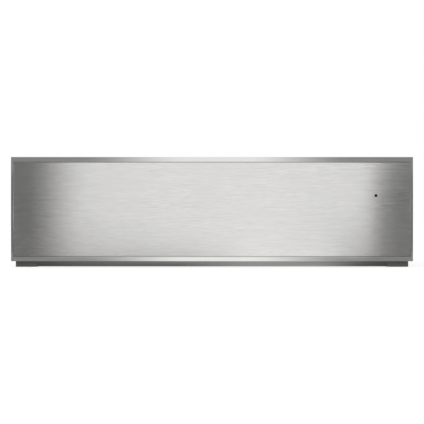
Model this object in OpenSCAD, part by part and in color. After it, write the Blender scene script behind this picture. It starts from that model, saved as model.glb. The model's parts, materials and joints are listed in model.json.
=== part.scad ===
// Built-in warming drawer with a handleless push-to-open front, in millimetres.
// The front faces -Y and +Z is up. The origin is on the ground, under the middle of the whole.

/* [Front] */
// Width of the front
front_w = 752; // [740:1:860]
// Height of the front
front_h = 195; // [185:1:240]
// Depth of the front, from its face to its back
front_t = 22; // [20:1:32]
// Height of the front's lower edge above the ground
plinth_h = 11; // [10:0.5:12]
// Visible height of the frame's top bar
top_bar = 9; // [6:0.5:14]
// Visible height of the frame's bottom bar
bottom_bar = 8; // [6:0.5:14]
// Visible width of the frame's side bars
side_bar = 4; // [3.5:0.5:10]
// Wall thickness of the frame's bars
bar_wall = 1.5; // [1:0.1:1.7]
// Thickness of the frame's inner flange, behind the shadow gap
rebate_t = 0.8; // [0.5:0.1:1.5]
// Open line at each mitred corner
mitre_gap = 0.12; // [0.05:0.01:0.3]
// Shadow gap between the frame and the panel
shadow_gap = 1.8; // [1:0.1:3]
// How far the panel's face lies behind the frame's
panel_recess = 0.3; // [0:0.1:1]
// Thickness of the brushed panel
panel_t = 1.5; // [0.8:0.1:2]
// Depth of the panel's folded edges
panel_return = 6; // [4:0.5:10]

/* [Carcass] */
// Outer width of the carcass
carcass_w = 716; // [715:1:730]
// Depth of the carcass, fascia to rear cover
carcass_d = 522; // [515:1:600]
// Height of the carcass
carcass_h = 202; // [200:1:205]
// Sheet metal thickness
sheet = 0.9; // [0.7:0.1:1.2]
// Thickness of the fascia plates and rails
fascia_t = 1.2; // [1:0.1:2]
// How far the fascia plates reach past the carcass sides
fascia_over = 11; // [8:0.5:14]
// Width of the foot at each end of the base strip
foot_w = 33; // [24:1:36]
// Width over which the foot slopes up to the strip
foot_slope = 7; // [3:0.5:10]
// How far the strip below the front reaches up behind it
sill_over = 2; // [1.5:0.5:3]
// Width of the folded flanges
flange_w = 15; // [12:1:18]
// Thickness of the insulation over the ceiling
insulation_t = 13; // [10:0.5:15]
// Depth of the space behind the back wall
machine_d = 34; // [33:0.5:40]
// Clearance round loosely fitted sheet parts
fit_gap = 0.3; // [0.2:0.05:0.5]

/* [Cabinet fixings] */
// Radius of the fixing holes in the fascia plates
fix_r = 2.1; // [1.6:0.1:2.4]
// Height of the middle of the fixing holes
fix_z = 105; // [95:1:115]
// Height between the upper and lower fixing holes
fix_pitch = 90; // [60:1:100]

/* [Drawer] */
// Width of the space for the drawer, between the liners
cavity_w = 598; // [570:1:600]
// Gap between the closed front and the fascia plates
closing_gap = 5; // [4.5:0.1:7]
// How far the front presses in to release the latch
press_in = 2.5; // [2:0.1:3]
// Full travel of the drawer
travel = 430; // [380:1:430]
// Height of the drawer floor's underside
floor_z = 22; // [21.5:0.5:26]
// Height of the top of the drawer sides
side_top = 165; // [140:1:170]
// Height of the top of the drawer's rear wall
rear_top = 150; // [130:1:165]
// Width of the rim folded out along the drawer sides
rim_w = 9; // [6:0.5:10]
// Drop of the rim's lip
rim_drop = 4; // [2:0.5:8]
// Width of the folds under the floor and against the front
fold_w = 14; // [12:0.5:18]
// Depth of the fold along the top of the rear wall
rear_fold = 3; // [2:0.5:4]
// Gap between the drawer and the fan cover
rear_gap = 5.5; // [5:0.1:8]
// Number of air slots in the drawer's rear wall
air_slots = 26; // [16:1:30]
// Width of an air slot
air_slot_w = 5; // [3:0.5:7]
// Length of an air slot
air_slot_h = 70; // [40:1:80]

/* [Floor plate and mat] */
// Thickness of the glass floor plate
glass_t = 4; // [3:0.5:6]
// Play round the glass floor plate
glass_play = 2; // [1:0.5:4]
// Thickness of the silicone pads under the glass
pad_t = 1.1; // [0.8:0.1:2]
// Radius of the silicone pads
pad_r = 8; // [5:0.5:12]
// Thickness of the non-slip mat
mat_t = 1.8; // [1.2:0.1:3]
// Margin of glass left bare round the mat
mat_margin = 14; // [8:1:30]

/* [Runners] */
// Length of each runner
runner_l = 430; // [430:1:440]
// Height of each runner
runner_h = 45.7; // [44:0.1:48]
// Thickness of each runner
runner_t = 12.7; // [12.7:0.1:13.5]
// Height of the runners' centre line
runner_z = 75; // [60:1:100]
// Set-back of the runners behind the fascia plates
runner_setback = 3; // [2:0.5:5]
// Web thickness of the runner members
web_t = 1.4; // [1.2:0.1:1.5]
// Flange thickness of the runner members
race_t = 1.6; // [1.4:0.1:1.8]
// Diameter of the balls
ball_d = 3.2; // [3:0.1:3.4]
// Depth of the grooves that the balls run in
groove_d = 0.5; // [0.4:0.05:0.6]
// Thickness of the ball cages
cage_t = 0.6; // [0.5:0.05:0.7]
// Number of balls in each row
balls = 7; // [4:1:10]

/* [Push latch] */
// Width of the latch housing
latch_w = 40; // [34:1:50]
// Length of the latch housing
latch_l = 56; // [52:1:70]
// Wall of the latch housing
latch_wall = 2.2; // [1.5:0.1:2.5]
// Width of the latch slider
slider_w = 16; // [14:0.5:20]
// Length of the latch slider
slider_l = 24; // [22:0.5:26]
// How far the slider pushes out when it is released
slider_out = 10; // [6:0.5:12]
// Width of the striker's tongue
tongue_w = 5; // [4:0.5:7]
// Wire diameter of the latch spring
wire_d = 0.9; // [0.7:0.1:1.1]
// Outer diameter of the latch spring
spring_d = 7.5; // [6:0.5:8]
// Turns of the latch spring
spring_turns = 8; // [5:1:10]

/* [Fan and heater] */
// Height of the fan's axis
fan_z = 105; // [95:1:112]
// Radius of the fan wheel
wheel_r = 48; // [40:1:50]
// Depth of the fan wheel
wheel_d = 20; // [16:1:22]
// Number of blades
blades = 16; // [12:1:24]
// Radius of the fan shaft
shaft_r = 3; // [2.5:0.25:4]
// Running clearance round a shaft, on the radius
run_play = 0.05; // [0.03:0.01:0.08]
// Depth of the fan chamber
chamber_d = 36; // [34:0.5:40]
// Width of the fan cover
cover_w = 330; // [280:1:380]
// Height of the fan cover
cover_h = 136; // [130:1:144]
// Radius of the perforated inlet
inlet_r = 44; // [36:1:48]
// Radius of each hole in it
hole_r = 2; // [1.5:0.1:2.2]
// Spacing of those holes
hole_pitch = 7; // [6:0.1:9]
// Radius of the heating element's ring
ring_r = 57; // [54:0.5:60]
// Radius of the heating element's tube
tube_r = 3.25; // [2.8:0.05:3.5]
// Side of the fan motor's core
motor_side = 54; // [44:1:60]

/* [Controls] */
// Height of the knob
knob_z = 92; // [85:1:96]
// Radius of the knob
knob_r = 15; // [12:0.5:16]
// Radius of the hollow round the knob
bowl_r = 23; // [21:0.5:23.5]
// Depth of that hollow
bowl_d = 14; // [12:0.5:16]
// Wall of the hollow
bowl_wall = 1.5; // [1:0.1:2]
// Width of the hollow's bezel
bezel_w = 3; // [2:0.25:3.5]
// Thickness of the hollow's bezel
bezel_t = 0.8; // [0.5:0.1:1]
// Radius of the switch spindle
spindle_r = 3; // [2.5:0.25:3.5]
// Distance of the indicator lamp from the drawer space
lamp_x = 7.7; // [7.2:0.1:9]
// Height of the indicator lamp
lamp_z = 133.7; // [125:0.1:150]
// Diameter of the indicator's lens
lens_d = 5.2; // [3:0.1:5.6]
// Depth of the control box
box_d = 96; // [80:1:120]
// Height of the control box
box_h = 116; // [110:1:130]
// Wall of the control box
box_wall = 2; // [1.5:0.1:2.5]
// Thickness of the circuit board
board_t = 1.6; // [1:0.1:2]
// Distance from the fascia plates' back to the circuit board
board_back = 28; // [26:0.5:32]

/* [Mains inlet] */
// Distance of the mains inlet from the carcass side
inlet_x = 58; // [45:1:80]
// Height of the mains inlet
inlet_z = 46; // [40:1:70]
// Width of the socket
socket_w = 24.4; // [24:0.1:25]
// Height of the socket
socket_h = 16.4; // [16:0.1:17]
// Depth of the socket
socket_d = 17; // [16:0.5:18]
// Wall round the socket
socket_wall = 1.5; // [1.2:0.1:2]

/* [Small parts] */
// Radius of the screws
screw_r = 1.9; // [1.5:0.1:2.2]
// Radius of the screws' heads
head_r = 3.4; // [3:0.1:3.6]
// Radius of the closing buffers
buffer_r = 5; // [3:0.5:6]
// Thickness of the closing buffers
buffer_t = 2; // [1:0.1:2]
// Radius of the wiring looms
loom_r = 2.4; // [1.5:0.1:2.8]
// Number of vent slots in each row of the rear cover
vents = 12; // [6:1:14]

/* [Hidden] */
$fn = 48;

// Depths, from the front's face to the rear cover
y_face = -(front_t + closing_gap + carcass_d) / 2;
y_door = y_face + front_t;
y_fascia = y_door + closing_gap;
y_body = y_fascia + fascia_t;
y_rear = y_fascia + carcass_d;
y_cover = y_rear - sheet;
y_back = y_rear - machine_d;
y_fan_cover = y_back - chamber_d;
y_drawer_end = y_fan_cover - rear_gap;
y_panel = y_face + panel_recess;
y_rebate = y_panel + panel_return;
y_core = y_rebate + rebate_t;

// Heights
z_front = plinth_h;
z_front_top = plinth_h + front_h;
z_base = sheet;
sill_h = plinth_h + sill_over;
z_inside = 2 * sheet;
z_lid = carcass_h - sheet;
z_flange = z_lid - sheet;
z_ceiling = z_flange - insulation_t;
z_glass = floor_z + sheet + pad_t;
z_mat = z_glass + glass_t;

// Half widths
x_front = front_w / 2;
x_carcass = carcass_w / 2;
x_wall = x_carcass - sheet;
x_fascia = x_carcass + fascia_over;
x_liner = cavity_w / 2;
x_column = x_liner + sheet;
x_runner = x_liner - runner_t;
x_drawer = x_runner - sheet;
x_foot = x_fascia - foot_w;
x_strip = x_foot - foot_slope;

// Panel of the front
panel_x = x_front - side_bar - shadow_gap;
panel_z0 = z_front + bottom_bar + shadow_gap;
panel_z1 = z_front_top - top_bar - shadow_gap;
rebate_under = 1.2;

// Runner section: u runs from the liner to the drawer, v up and down from the centre line
race_gap = ball_d + 2 * run_play - 2 * groove_d;
outer_race = runner_h / 2 - race_t;
outer_ball = outer_race - race_gap / 2;
middle_top = outer_race - race_gap;
middle_race = middle_top - race_t;
inner_ball = middle_race - race_gap / 2;
inner_top = middle_race - race_gap;
inner_flange = 4.5;
ball_clear = 0.2;
ball_offset = 3;
web_clear = 0.3;
web_gap = (runner_t - 3 * web_t - inner_flange) / 2;
u_middle = web_t + web_gap;
u_inner_web = runner_t - web_t;
u_inner = u_middle + web_t + web_gap;
u_outer_ball = u_middle + web_t + ball_d / 2 + ball_clear;
u_inner_ball = u_outer_ball + ball_offset;
u_reach = u_inner_web - web_clear;
y_runner = y_body + runner_setback;
cage_short = 15;
cage_l = runner_l - travel / 2 - cage_short;
y_cage = y_runner + (runner_l - cage_l) / 2;
ball_pitch = cage_l / balls;
ball_r = ball_d / 2;
race_r = ball_r + run_play;
pocket_play = 0.08;
pocket_rim = 0.8;
runner_fix_inset = 20;
runner_fix_y = [y_runner + runner_fix_inset, y_runner + runner_l / 2,
                y_runner + runner_l - runner_fix_inset];
rivet_head = 1;
rivet_play = 0.03;

// Fan chamber
wheel_back = 8;
y_wheel = y_back - wheel_back - wheel_d;
wheel_disc = 1.2;
wheel_rim = 6;
hub_r = 9;
motor_stand = 4;
y_motor = y_back + sheet + motor_stand;
motor_t = 18;
heater_y = y_back - chamber_d / 2;
heater_leg_a = 12;
cover_slots = 5;
cover_slot_w = 3;
cover_slot_h = 76;
cover_slot_pitch = 6;
cover_slot_margin = 10;
slot_x = cover_w / 2 - cover_slot_margin - (cover_slots - 1) * cover_slot_pitch;
leg_x = ring_r * sin(heater_leg_a);
leg_z = ring_r * cos(heater_leg_a);

// Controls
x_knob = (x_column + x_wall) / 2;
x_lamp = x_liner + lamp_x;
y_bowl_floor = y_fascia + bowl_d;
y_board = y_body + board_back;
box_gap = 1.5;
box_x0 = x_column + box_gap;
box_x1 = x_wall - box_gap;
box_below = 38;
box_z0 = knob_z - box_below;
y_box = y_body + sheet + fit_gap;
y_box_end = y_box + box_d;
switch_side = 22;
switch_t = 8;
terminal_d = 12;
terminal_h = 14;
relay = [20, 22, 28];
transformer = [16, 16, 30];
capacitor_r = 5;
capacitor_l = 20;
capacitor_pitch = 16;
part_margin = 4;
parts_up = 26;
lamp_r = 1.5;
lamp_l = 5;
y_switch = y_board - switch_t;
knob_setback = 0.3;
knob_gap = 0.6;
grip_w = 6;
grip_l = 5;
y_skirt = y_fascia + grip_l;

// Mains inlet
x_inlet = x_carcass - inlet_x;
inlet_body_w = socket_w + 2 * socket_wall;
inlet_body_h = socket_h + 2 * socket_wall;
inlet_back = 4;
blade_w = 2;
blade_h = 4;
blade_pitch = 7;
blade_drop = 2;
blade_set = 3;
tab_l = 5.5;
tab_w = 6;
tab_t = 0.8;
inlet_flange = 2.5;
inlet_rim = 1.5;

// Push latch
latch_gap = 0.3;
latch_clear = 1.5;
latch_back = 6;
latch_room = 0.5;
slider_inset = 3;
latch_h = floor_z - latch_clear - z_inside;
slider_h = latch_h - 2 * latch_wall - 2 * latch_gap;
y_latch_end = y_drawer_end - latch_back;
y_latch = y_latch_end - latch_l;
y_slider = y_latch + slider_inset;
tongue_in = 6;
y_striker = y_latch - press_in - latch_room;
tongue_l = y_slider + tongue_in - y_striker;
slot_w = tongue_w + 2 * latch_gap;
slot_room = 4;
slot_d = tongue_in + press_in + slot_room;
z_slider = z_inside + latch_wall + latch_gap;
tongue_clear = 1.2;
z_tongue = sill_h + tongue_clear;
tongue_t = 2.4;
striker_w = 28;
striker_plate = 1.5;
spring_gap = 0.3;
spring_y0 = y_slider + slider_l + spring_gap;
spring_y1 = y_latch_end - latch_wall - spring_gap;

// Screws: the top and rear covers have countersunk ones, so that the outer faces stay flat
screw_l = 6;
screw_play = 0.1;
top_screw_front = 40;
top_screw_rear = 20;
top_screws_y = [y_body + top_screw_front, 0, y_back - top_screw_rear];
rear_screws_z = [26, 100, 176];
fascia_screws_z = [44, 152];
fascia_screw_x = x_wall - flange_w / 2;
flange_mid = x_wall - flange_w / 2;
front_screw_inset = 30;
front_screws_z = [floor_z + front_screw_inset, side_top - front_screw_inset];
front_screw_x = x_drawer - fold_w / 2;
front_head = 1.6;
front_screw_l = 12;
cover_flange = 10;
cover_screw_x = cover_w / 2 + cover_flange / 2;
cover_screw_inset = 12;
cover_screw_z = cover_h / 2 - cover_screw_inset;
inlet_ear = 9;
inlet_screw_x = inlet_body_w / 2 + inlet_ear / 2 + 1;
latch_screw_inset = 5;
latch_screw_x = latch_w / 2 - latch_screw_inset;
buffer_z = [28, 180];
buffer_inset = 12;
buffer_x = x_wall - buffer_inset;

// ---------- helpers ----------

// Box between two corners
module slab(x0, x1, y0, y1, z0, z1) {
    translate([x0, y0, z0]) cube([x1 - x0, y1 - y0, z1 - z0]);
}

// Plate with a drawn outline in X and Z, from y0 back
module upright(y0, t) {
    translate([0, y0 + t, 0]) rotate([90, 0, 0]) linear_extrude(t) children();
}

// Rectangle from corner to corner
module field(x0, x1, z0, z1) {
    translate([x0, z0]) square([x1 - x0, z1 - z0]);
}

// Round bar along Y, from y0 back
module pin_y(x, z, y0, l, r) {
    translate([x, y0, z]) rotate([-90, 0, 0]) cylinder(h = l, r = r);
}

// Round bar along X, from x0 outward
module pin_x(y, z, x0, l, r) {
    translate([x0, y, z]) rotate([0, 90, 0]) cylinder(h = l, r = r);
}

// Upright slot with rounded ends, from the middle of its lower end up
module round_slot(r, h) {
    steps = 6;
    polygon([for (k = [0:1], i = [0:steps]) let (a = 180 * (k + i / steps))
        [r * cos(a), (1 - k) * h + r * sin(a)]]);
}

// Countersunk screw head as thick as a cover sheet, or the hole for it, from its base up
module countersink(play) {
    cylinder(h = sheet, r1 = screw_r + play, r2 = head_r + play);
    if (play > 0) {
        translate([0, 0, -1]) cylinder(h = 1.1, r = screw_r + play);
        translate([0, 0, sheet - 0.01]) cylinder(h = 1, r = head_r + play);
    }
}

// Left-hand copy of what is drawn on the right
module on_left() {
    mirror([1, 0, 0]) children();
}

// Whole outline of the front, drawn in by margins at the side, the bottom and the top
module front_field(margin) {
    field(-x_front + margin[0], x_front - margin[0], z_front + margin[1], z_front_top - margin[2]);
}

// Straight run of loom between two points
module loom_run(a, b) {
    d = b - a;
    l = norm(d);
    translate(a) rotate([0, acos(d[2] / l), atan2(d[1], d[0])]) cylinder(h = l, r = loom_r);
}

// Loom through a list of points, round at the bends
module loom(points) {
    for (i = [1:len(points) - 1]) loom_run(points[i - 1], points[i]);
    for (i = [1:len(points) - 2]) translate(points[i]) sphere(r = loom_r);
}

// ---------- front ----------

// Open line at one mitred corner of the frame
module mitre_cut(s, z_out, z_in) {
    past = (shadow_gap + rebate_under + 0.5) / min(side_bar, top_bar, bottom_bar);
    run = (z_in - z_out) * past;
    slip = side_bar * past;
    polygon([
        [s * (x_front + slip) - mitre_gap / 2, z_out - run],
        [s * (x_front + slip) + mitre_gap / 2, z_out - run],
        [s * (x_front - side_bar - slip) + mitre_gap / 2, z_in + run],
        [s * (x_front - side_bar - slip) - mitre_gap / 2, z_in + run]
    ]);
}

// Ring of the frame between two sets of margins, from y0 to y1
module frame_ring(y0, y1, outer, inner) {
    upright(y0, y1 - y0) difference() {
        front_field(outer);
        front_field(inner);
    }
}

// Four folded bars: face, outer wall, inner lip, and a flange that carries the panel's folded edges
module front_frame() {
    edge = [0, 0, 0];
    wall = [bar_wall, bar_wall, bar_wall];
    seen = [side_bar, bottom_bar, top_bar];
    under = (shadow_gap + rebate_under) * [1, 1, 1];
    color("gainsboro") difference() {
        union() {
            frame_ring(y_face, y_face + bar_wall, edge, seen);
            frame_ring(y_face, y_door, edge, wall);
            frame_ring(y_face, y_core, seen - wall, seen);
            frame_ring(y_rebate, y_core, seen - wall, seen + under);
        }
        upright(y_face - 1, front_t + 2) for (s = [-1, 1]) {
            mitre_cut(s, z_front, z_front + bottom_bar);
            mitre_cut(s, z_front_top, z_front_top - top_bar);
        }
    }
}

module front_panel() {
    color("silver") difference() {
        upright(y_panel, panel_return) field(-panel_x, panel_x, panel_z0, panel_z1);
        upright(y_panel + panel_t, panel_return)
            field(-panel_x + panel_t, panel_x - panel_t, panel_z0 + panel_t, panel_z1 - panel_t);
        pin_y(x_lamp, lamp_z, y_panel - 1, panel_t + 2, lens_d / 2 + fit_gap / 2);
    }
}

module front_core() {
    inset = panel_t + fit_gap;
    margin = (bar_wall + fit_gap) * [1, 1, 1];
    color("lightgoldenrodyellow") difference() {
        union() {
            upright(y_panel + panel_t, y_core - y_panel - panel_t + 0.5)
                field(-panel_x + inset, panel_x - inset, panel_z0 + inset, panel_z1 - inset);
            upright(y_core, y_door - sheet - y_core) front_field(margin);
        }
        pin_y(x_lamp, lamp_z, y_face, front_t, lens_d / 2 + fit_gap / 2);
        for (s = [-1, 1], z = front_screws_z)
            pin_y(s * front_screw_x, z, y_door - front_screw_l, front_screw_l, screw_r + rivet_play);
    }
}

module front_inner_panel() {
    margin = (bar_wall + fit_gap / 2) * [1, 1, 1];
    color("lightgray") difference() {
        upright(y_door - sheet, sheet) front_field(margin);
        pin_y(x_lamp, lamp_z, y_face, front_t + 1, lens_d / 2 + fit_gap / 2);
        for (s = [-1, 1], z = front_screws_z)
            pin_y(s * front_screw_x, z, y_door - 2, 4, screw_r + screw_play);
    }
}

module indicator_lens() {
    color("dimgray") pin_y(x_lamp, lamp_z, y_panel, front_t - panel_recess, lens_d / 2);
}

// ---------- drawer ----------

module drawer_floor() {
    color("lightgray")
        slab(-x_drawer, x_drawer, y_door + sheet, y_drawer_end - rear_fold, floor_z, floor_z + sheet);
}

// Right side: wall, fold under the floor, fold against the front, rim and its lip
module drawer_side() {
    z0 = floor_z - sheet;
    y1 = y_drawer_end - rear_fold;
    difference() {
        union() {
            slab(x_drawer, x_runner, y_door, y1, z0, side_top);
            slab(x_drawer - fold_w, x_drawer, y_door + sheet, y1, z0, floor_z);
            slab(x_drawer - fold_w, x_drawer, y_door, y_door + sheet, z0, side_top);
            slab(x_drawer, x_runner + rim_w, y_door, y1, side_top - sheet, side_top);
            slab(x_runner + rim_w - sheet, x_runner + rim_w, y_door, y1, side_top - rim_drop, side_top);
        }
        for (y = runner_fix_y)
            pin_x(y, runner_z, x_drawer - 1, sheet + 2, screw_r + screw_play);
        for (z = front_screws_z)
            pin_y(front_screw_x, z, y_door - 1, sheet + 2, screw_r + screw_play);
    }
}

module drawer_left_side() {
    color("lightgray") on_left() drawer_side();
}

module drawer_right_side() {
    color("lightgray") drawer_side();
}

module drawer_rear_wall() {
    y1 = y_drawer_end - rear_fold;
    z0 = floor_z + sheet;
    margin = 30;
    pitch = 2 * (x_drawer - margin) / air_slots;
    slot_z = (z_mat + mat_t + rear_top - air_slot_h) / 2;
    color("lightgray") {
        difference() {
            upright(y1 - sheet, sheet) field(-x_drawer, x_drawer, z0, rear_top);
            upright(y1 - sheet - 1, sheet + 2) for (i = [0:air_slots - 1]) {
                x = -x_drawer + margin + (i + 0.5) * pitch;
                translate([x, slot_z]) round_slot(air_slot_w / 2, air_slot_h);
            }
        }
        slab(-x_drawer, x_drawer, y1, y_drawer_end, rear_top - sheet, rear_top);
    }
}

module glass_floor() {
    color("darkslategray")
        slab(-x_drawer + glass_play, x_drawer - glass_play, y_door + sheet + glass_play,
             y_drawer_end - rear_fold - sheet - glass_play, z_glass, z_mat);
}

module glass_pads() {
    inset = 40;
    y0 = y_door + inset;
    y1 = y_drawer_end - inset;
    color("gray") for (x = [-x_drawer + inset, 0, x_drawer - inset], y = [y0, y1])
        translate([x, y, floor_z + sheet]) cylinder(h = pad_t, r = pad_r);
}

module nonslip_mat() {
    m = glass_play + mat_margin;
    color("dimgray")
        slab(-x_drawer + m, x_drawer - m, y_door + sheet + m,
             y_drawer_end - rear_fold - sheet - m, z_mat, z_mat + mat_t);
}

// Screws into the front, and rivets that hold the inner runner members
module drawer_fixings() {
    color("gray") for (s = [-1, 1]) {
        for (z = front_screws_z) {
            pin_y(s * front_screw_x, z, y_door + sheet, front_head, head_r);
            pin_y(s * front_screw_x, z, y_door - front_screw_l + 1, front_screw_l - 1 + sheet, screw_r);
        }
        for (y = runner_fix_y) scale([s, 1, 1]) {
            pin_x(y, runner_z, x_drawer - rivet_head, rivet_head, head_r);
            pin_x(y, runner_z, x_drawer - 0.1, sheet + web_t + 0.1, screw_r);
        }
    }
}

// Plate under the drawer floor with a tongue that enters the latch slider
module latch_striker() {
    w = striker_w / 2;
    color("gray") {
        slab(-w, w, y_striker - fold_w, y_striker, floor_z - sheet, floor_z);
        slab(-w, w, y_striker - striker_plate, y_striker, z_tongue, floor_z - sheet);
        slab(-tongue_w / 2, tongue_w / 2, y_striker - striker_plate, y_striker + tongue_l,
             z_tongue, z_tongue + tongue_t);
    }
}

// ---------- runners ----------

// Right-hand channel: a web and two flanges, in u and v, with grooves for its balls
module channel(web_u, u0, u1, v_top, l, grooves) {
    difference() {
        union() {
            slab(x_liner - web_u - web_t, x_liner - web_u, y_runner, y_runner + l,
                 runner_z - v_top, runner_z + v_top);
            for (s = [-1, 1])
                slab(x_liner - u1, x_liner - u0, y_runner, y_runner + l,
                     runner_z + min(s * v_top, s * (v_top - race_t)),
                     runner_z + max(s * v_top, s * (v_top - race_t)));
        }
        for (g = grooves, s = [-1, 1])
            pin_y(x_liner - g[0], runner_z + s * g[1], y_runner - 1, l + 2, race_r);
    }
}

module rivet_holes(web_u) {
    for (y = runner_fix_y)
        pin_x(y, runner_z, x_liner - web_u - web_t - 1, web_t + 2, screw_r + rivet_play);
}

module runner_outer() {
    difference() {
        channel(0, 0, u_reach, runner_h / 2, runner_l, [[u_outer_ball, outer_ball]]);
        rivet_holes(0);
    }
}

module runner_middle() {
    channel(u_middle, u_middle, u_reach, middle_top, runner_l,
            [[u_outer_ball, outer_ball], [u_inner_ball, inner_ball]]);
}

module runner_inner() {
    difference() {
        channel(u_inner_web, u_inner, runner_t, inner_top, runner_l, [[u_inner_ball, inner_ball]]);
        rivet_holes(u_inner_web);
    }
}

// Ball cage: a thin channel with its balls in two rows of pockets
module ball_cage(u0, u_ball, v_ball) {
    v = v_ball + cage_t / 2;
    x0 = x_liner - u_ball - ball_r - pocket_rim;
    difference() {
        union() {
            slab(x_liner - u0 - cage_t, x_liner - u0, y_cage, y_cage + cage_l,
                 runner_z - v, runner_z + v);
            for (s = [-1, 1])
                slab(x0, x_liner - u0, y_cage, y_cage + cage_l,
                     runner_z + s * v_ball - cage_t / 2, runner_z + s * v_ball + cage_t / 2);
        }
        for (i = [0:balls - 1], s = [-1, 1])
            translate([x_liner - u_ball, y_cage + (i + 0.5) * ball_pitch, runner_z + s * v_ball])
                cylinder(h = ball_d, r = ball_r + pocket_play, center = true);
    }
    for (i = [0:balls - 1], s = [-1, 1])
        translate([x_liner - u_ball, y_cage + (i + 0.5) * ball_pitch, runner_z + s * v_ball])
            sphere(r = ball_r);
}

module outer_cage() {
    ball_cage(web_t + (web_gap - cage_t) / 2, u_outer_ball, outer_ball);
}

module inner_cage() {
    ball_cage(u_middle + web_t + (web_gap - cage_t) / 2, u_inner_ball, inner_ball);
}

module left_runner_inner() { color("lightsteelblue") on_left() runner_inner(); }
module right_runner_inner() { color("lightsteelblue") runner_inner(); }
module left_runner_middle() { color("lightsteelblue") on_left() runner_middle(); }
module right_runner_middle() { color("lightsteelblue") runner_middle(); }
module left_runner_outer() { color("lightsteelblue") on_left() runner_outer(); }
module right_runner_outer() { color("lightsteelblue") runner_outer(); }
module left_outer_ball_cage() { color("gray") on_left() outer_cage(); }
module right_outer_ball_cage() { color("gray") outer_cage(); }
module left_inner_ball_cage() { color("gray") on_left() inner_cage(); }
module right_inner_ball_cage() { color("gray") inner_cage(); }

// ---------- carcass ----------

module base_plate() {
    color("silver") difference() {
        slab(-x_wall, x_wall, y_body, y_cover, z_base, z_inside);
        for (s = [-1, 1]) translate([s * latch_screw_x, y_latch + latch_l / 2, z_base - 1])
            cylinder(h = sheet + 2, r = screw_r + rivet_play);
    }
}

// Right side panel with its flanges: ground, top, front and rear
module side_panel() {
    x0 = x_wall - flange_w;
    difference() {
        union() {
            slab(x_wall, x_carcass, y_body, y_cover, 0, z_lid);
            slab(x_carcass - 2 * flange_w, x_wall, y_body, y_cover, 0, z_base);
            slab(x0, x_wall, y_body, y_cover, z_flange, z_lid);
            slab(x0, x_wall, y_body, y_body + sheet, z_inside, z_ceiling);
            slab(x0, x_wall, y_cover - sheet, y_cover, z_inside, z_flange);
        }
        for (y = top_screws_y) translate([flange_mid, y, z_flange - 1])
            cylinder(h = 3, r = screw_r + rivet_play);
        for (z = rear_screws_z) pin_y(flange_mid, z, y_cover - sheet - 1, 3, screw_r + rivet_play);
        for (z = fascia_screws_z) pin_y(fascia_screw_x, z, y_body - 1, 3, screw_r + rivet_play);
    }
}

module left_side_panel() { color("silver") on_left() side_panel(); }

module right_side_panel() {
    color("silver") difference() {
        side_panel();
        pin_y(x_knob, knob_z, y_body - 1, sheet + 2, bowl_r + bowl_wall + fit_gap);
    }
}

module top_cover() {
    color("silver") difference() {
        slab(-x_carcass, x_carcass, y_fascia, y_rear, z_lid, carcass_h);
        for (s = [-1, 1], y = top_screws_y) translate([s * flange_mid, y, z_lid])
            countersink(screw_play);
    }
}

// Rear cover with two rows of vent slots and the cut-out for the mains inlet
module rear_cover() {
    vent_w = 3.5;
    vent_h = 42;
    vent_bar = 20;
    pitch = 16;
    color("silver") difference() {
        upright(y_cover, sheet) field(-x_carcass, x_carcass, z_base, z_lid);
        upright(y_cover - 1, 3)
            for (z = [fan_z - vent_bar / 2 - vent_h, fan_z + vent_bar / 2], i = [0:vents - 1]) {
                x = (i - (vents - 1) / 2) * pitch;
                field(x - vent_w / 2, x + vent_w / 2, z, z + vent_h);
            }
        upright(y_cover - 1, 3) field(x_inlet - inlet_body_w / 2 - fit_gap,
            x_inlet + inlet_body_w / 2 + fit_gap, inlet_z - inlet_body_h / 2 - fit_gap,
            inlet_z + inlet_body_h / 2 + fit_gap);
        for (s = [-1, 1], z = rear_screws_z)
            translate([s * flange_mid, y_cover, z]) rotate([-90, 0, 0]) countersink(screw_play);
        for (s = [-1, 1])
            translate([x_inlet + s * inlet_screw_x, y_cover, inlet_z]) rotate([-90, 0, 0])
                countersink(screw_play);
    }
}

// Strip under the front, between the two feet, with a lip folded back
module base_strip() {
    color("gray") {
        slab(-x_strip, x_strip, y_fascia, y_body, z_base, sill_h);
        slab(-x_liner, x_liner, y_body, y_body + flange_w, sill_h - sheet, sill_h);
    }
}

module header_rail() {
    color("lightgray") {
        slab(-x_liner, x_liner, y_fascia, y_body, z_ceiling, z_lid);
        slab(-x_liner, x_liner, y_body, y_body + flange_w, z_flange, z_lid);
    }
}

// Outline of the right fascia plate, with its foot at the ground
module fascia_outline() {
    polygon([
        [x_liner, sill_h], [x_strip, sill_h], [x_strip, z_base], [x_foot, 0],
        [x_fascia, 0], [x_fascia, z_lid], [x_liner, z_lid]
    ]);
}

module fascia() {
    difference() {
        upright(y_fascia, fascia_t) fascia_outline();
        for (s = [-1, 1])
            pin_y(x_carcass + fascia_over / 2, fix_z + s * fix_pitch / 2, y_fascia - 1,
                  fascia_t + 2, fix_r);
        for (z = fascia_screws_z)
            pin_y(fascia_screw_x, z, y_fascia - 1, fascia_t + 2, screw_r + screw_play);
    }
}

module left_fascia() { color("lightgray") on_left() fascia(); }

module right_fascia() {
    color("lightgray") difference() {
        fascia();
        pin_y(x_knob, knob_z, y_fascia - 1, fascia_t + 2, bowl_r + bowl_wall + screw_play);
        pin_y(x_lamp, lamp_z, y_fascia - 1, fascia_t + 2, lens_d / 2 + screw_play);
    }
}

// Right liner, which carries a runner, with feet folded outward
module liner() {
    difference() {
        union() {
            slab(x_liner, x_column, y_body, y_back, z_inside, z_ceiling);
            slab(x_column, x_column + flange_w, y_body + sheet, y_back, z_inside, z_inside + sheet);
            slab(x_column, x_column + flange_w, y_body + sheet, y_back, z_ceiling - sheet, z_ceiling);
        }
        for (y = runner_fix_y)
            pin_x(y, runner_z, x_liner - 1, sheet + 2, screw_r + rivet_play);
    }
}

module left_liner() { color("lightgray") on_left() liner(); }
module right_liner() { color("lightgray") liner(); }

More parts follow.
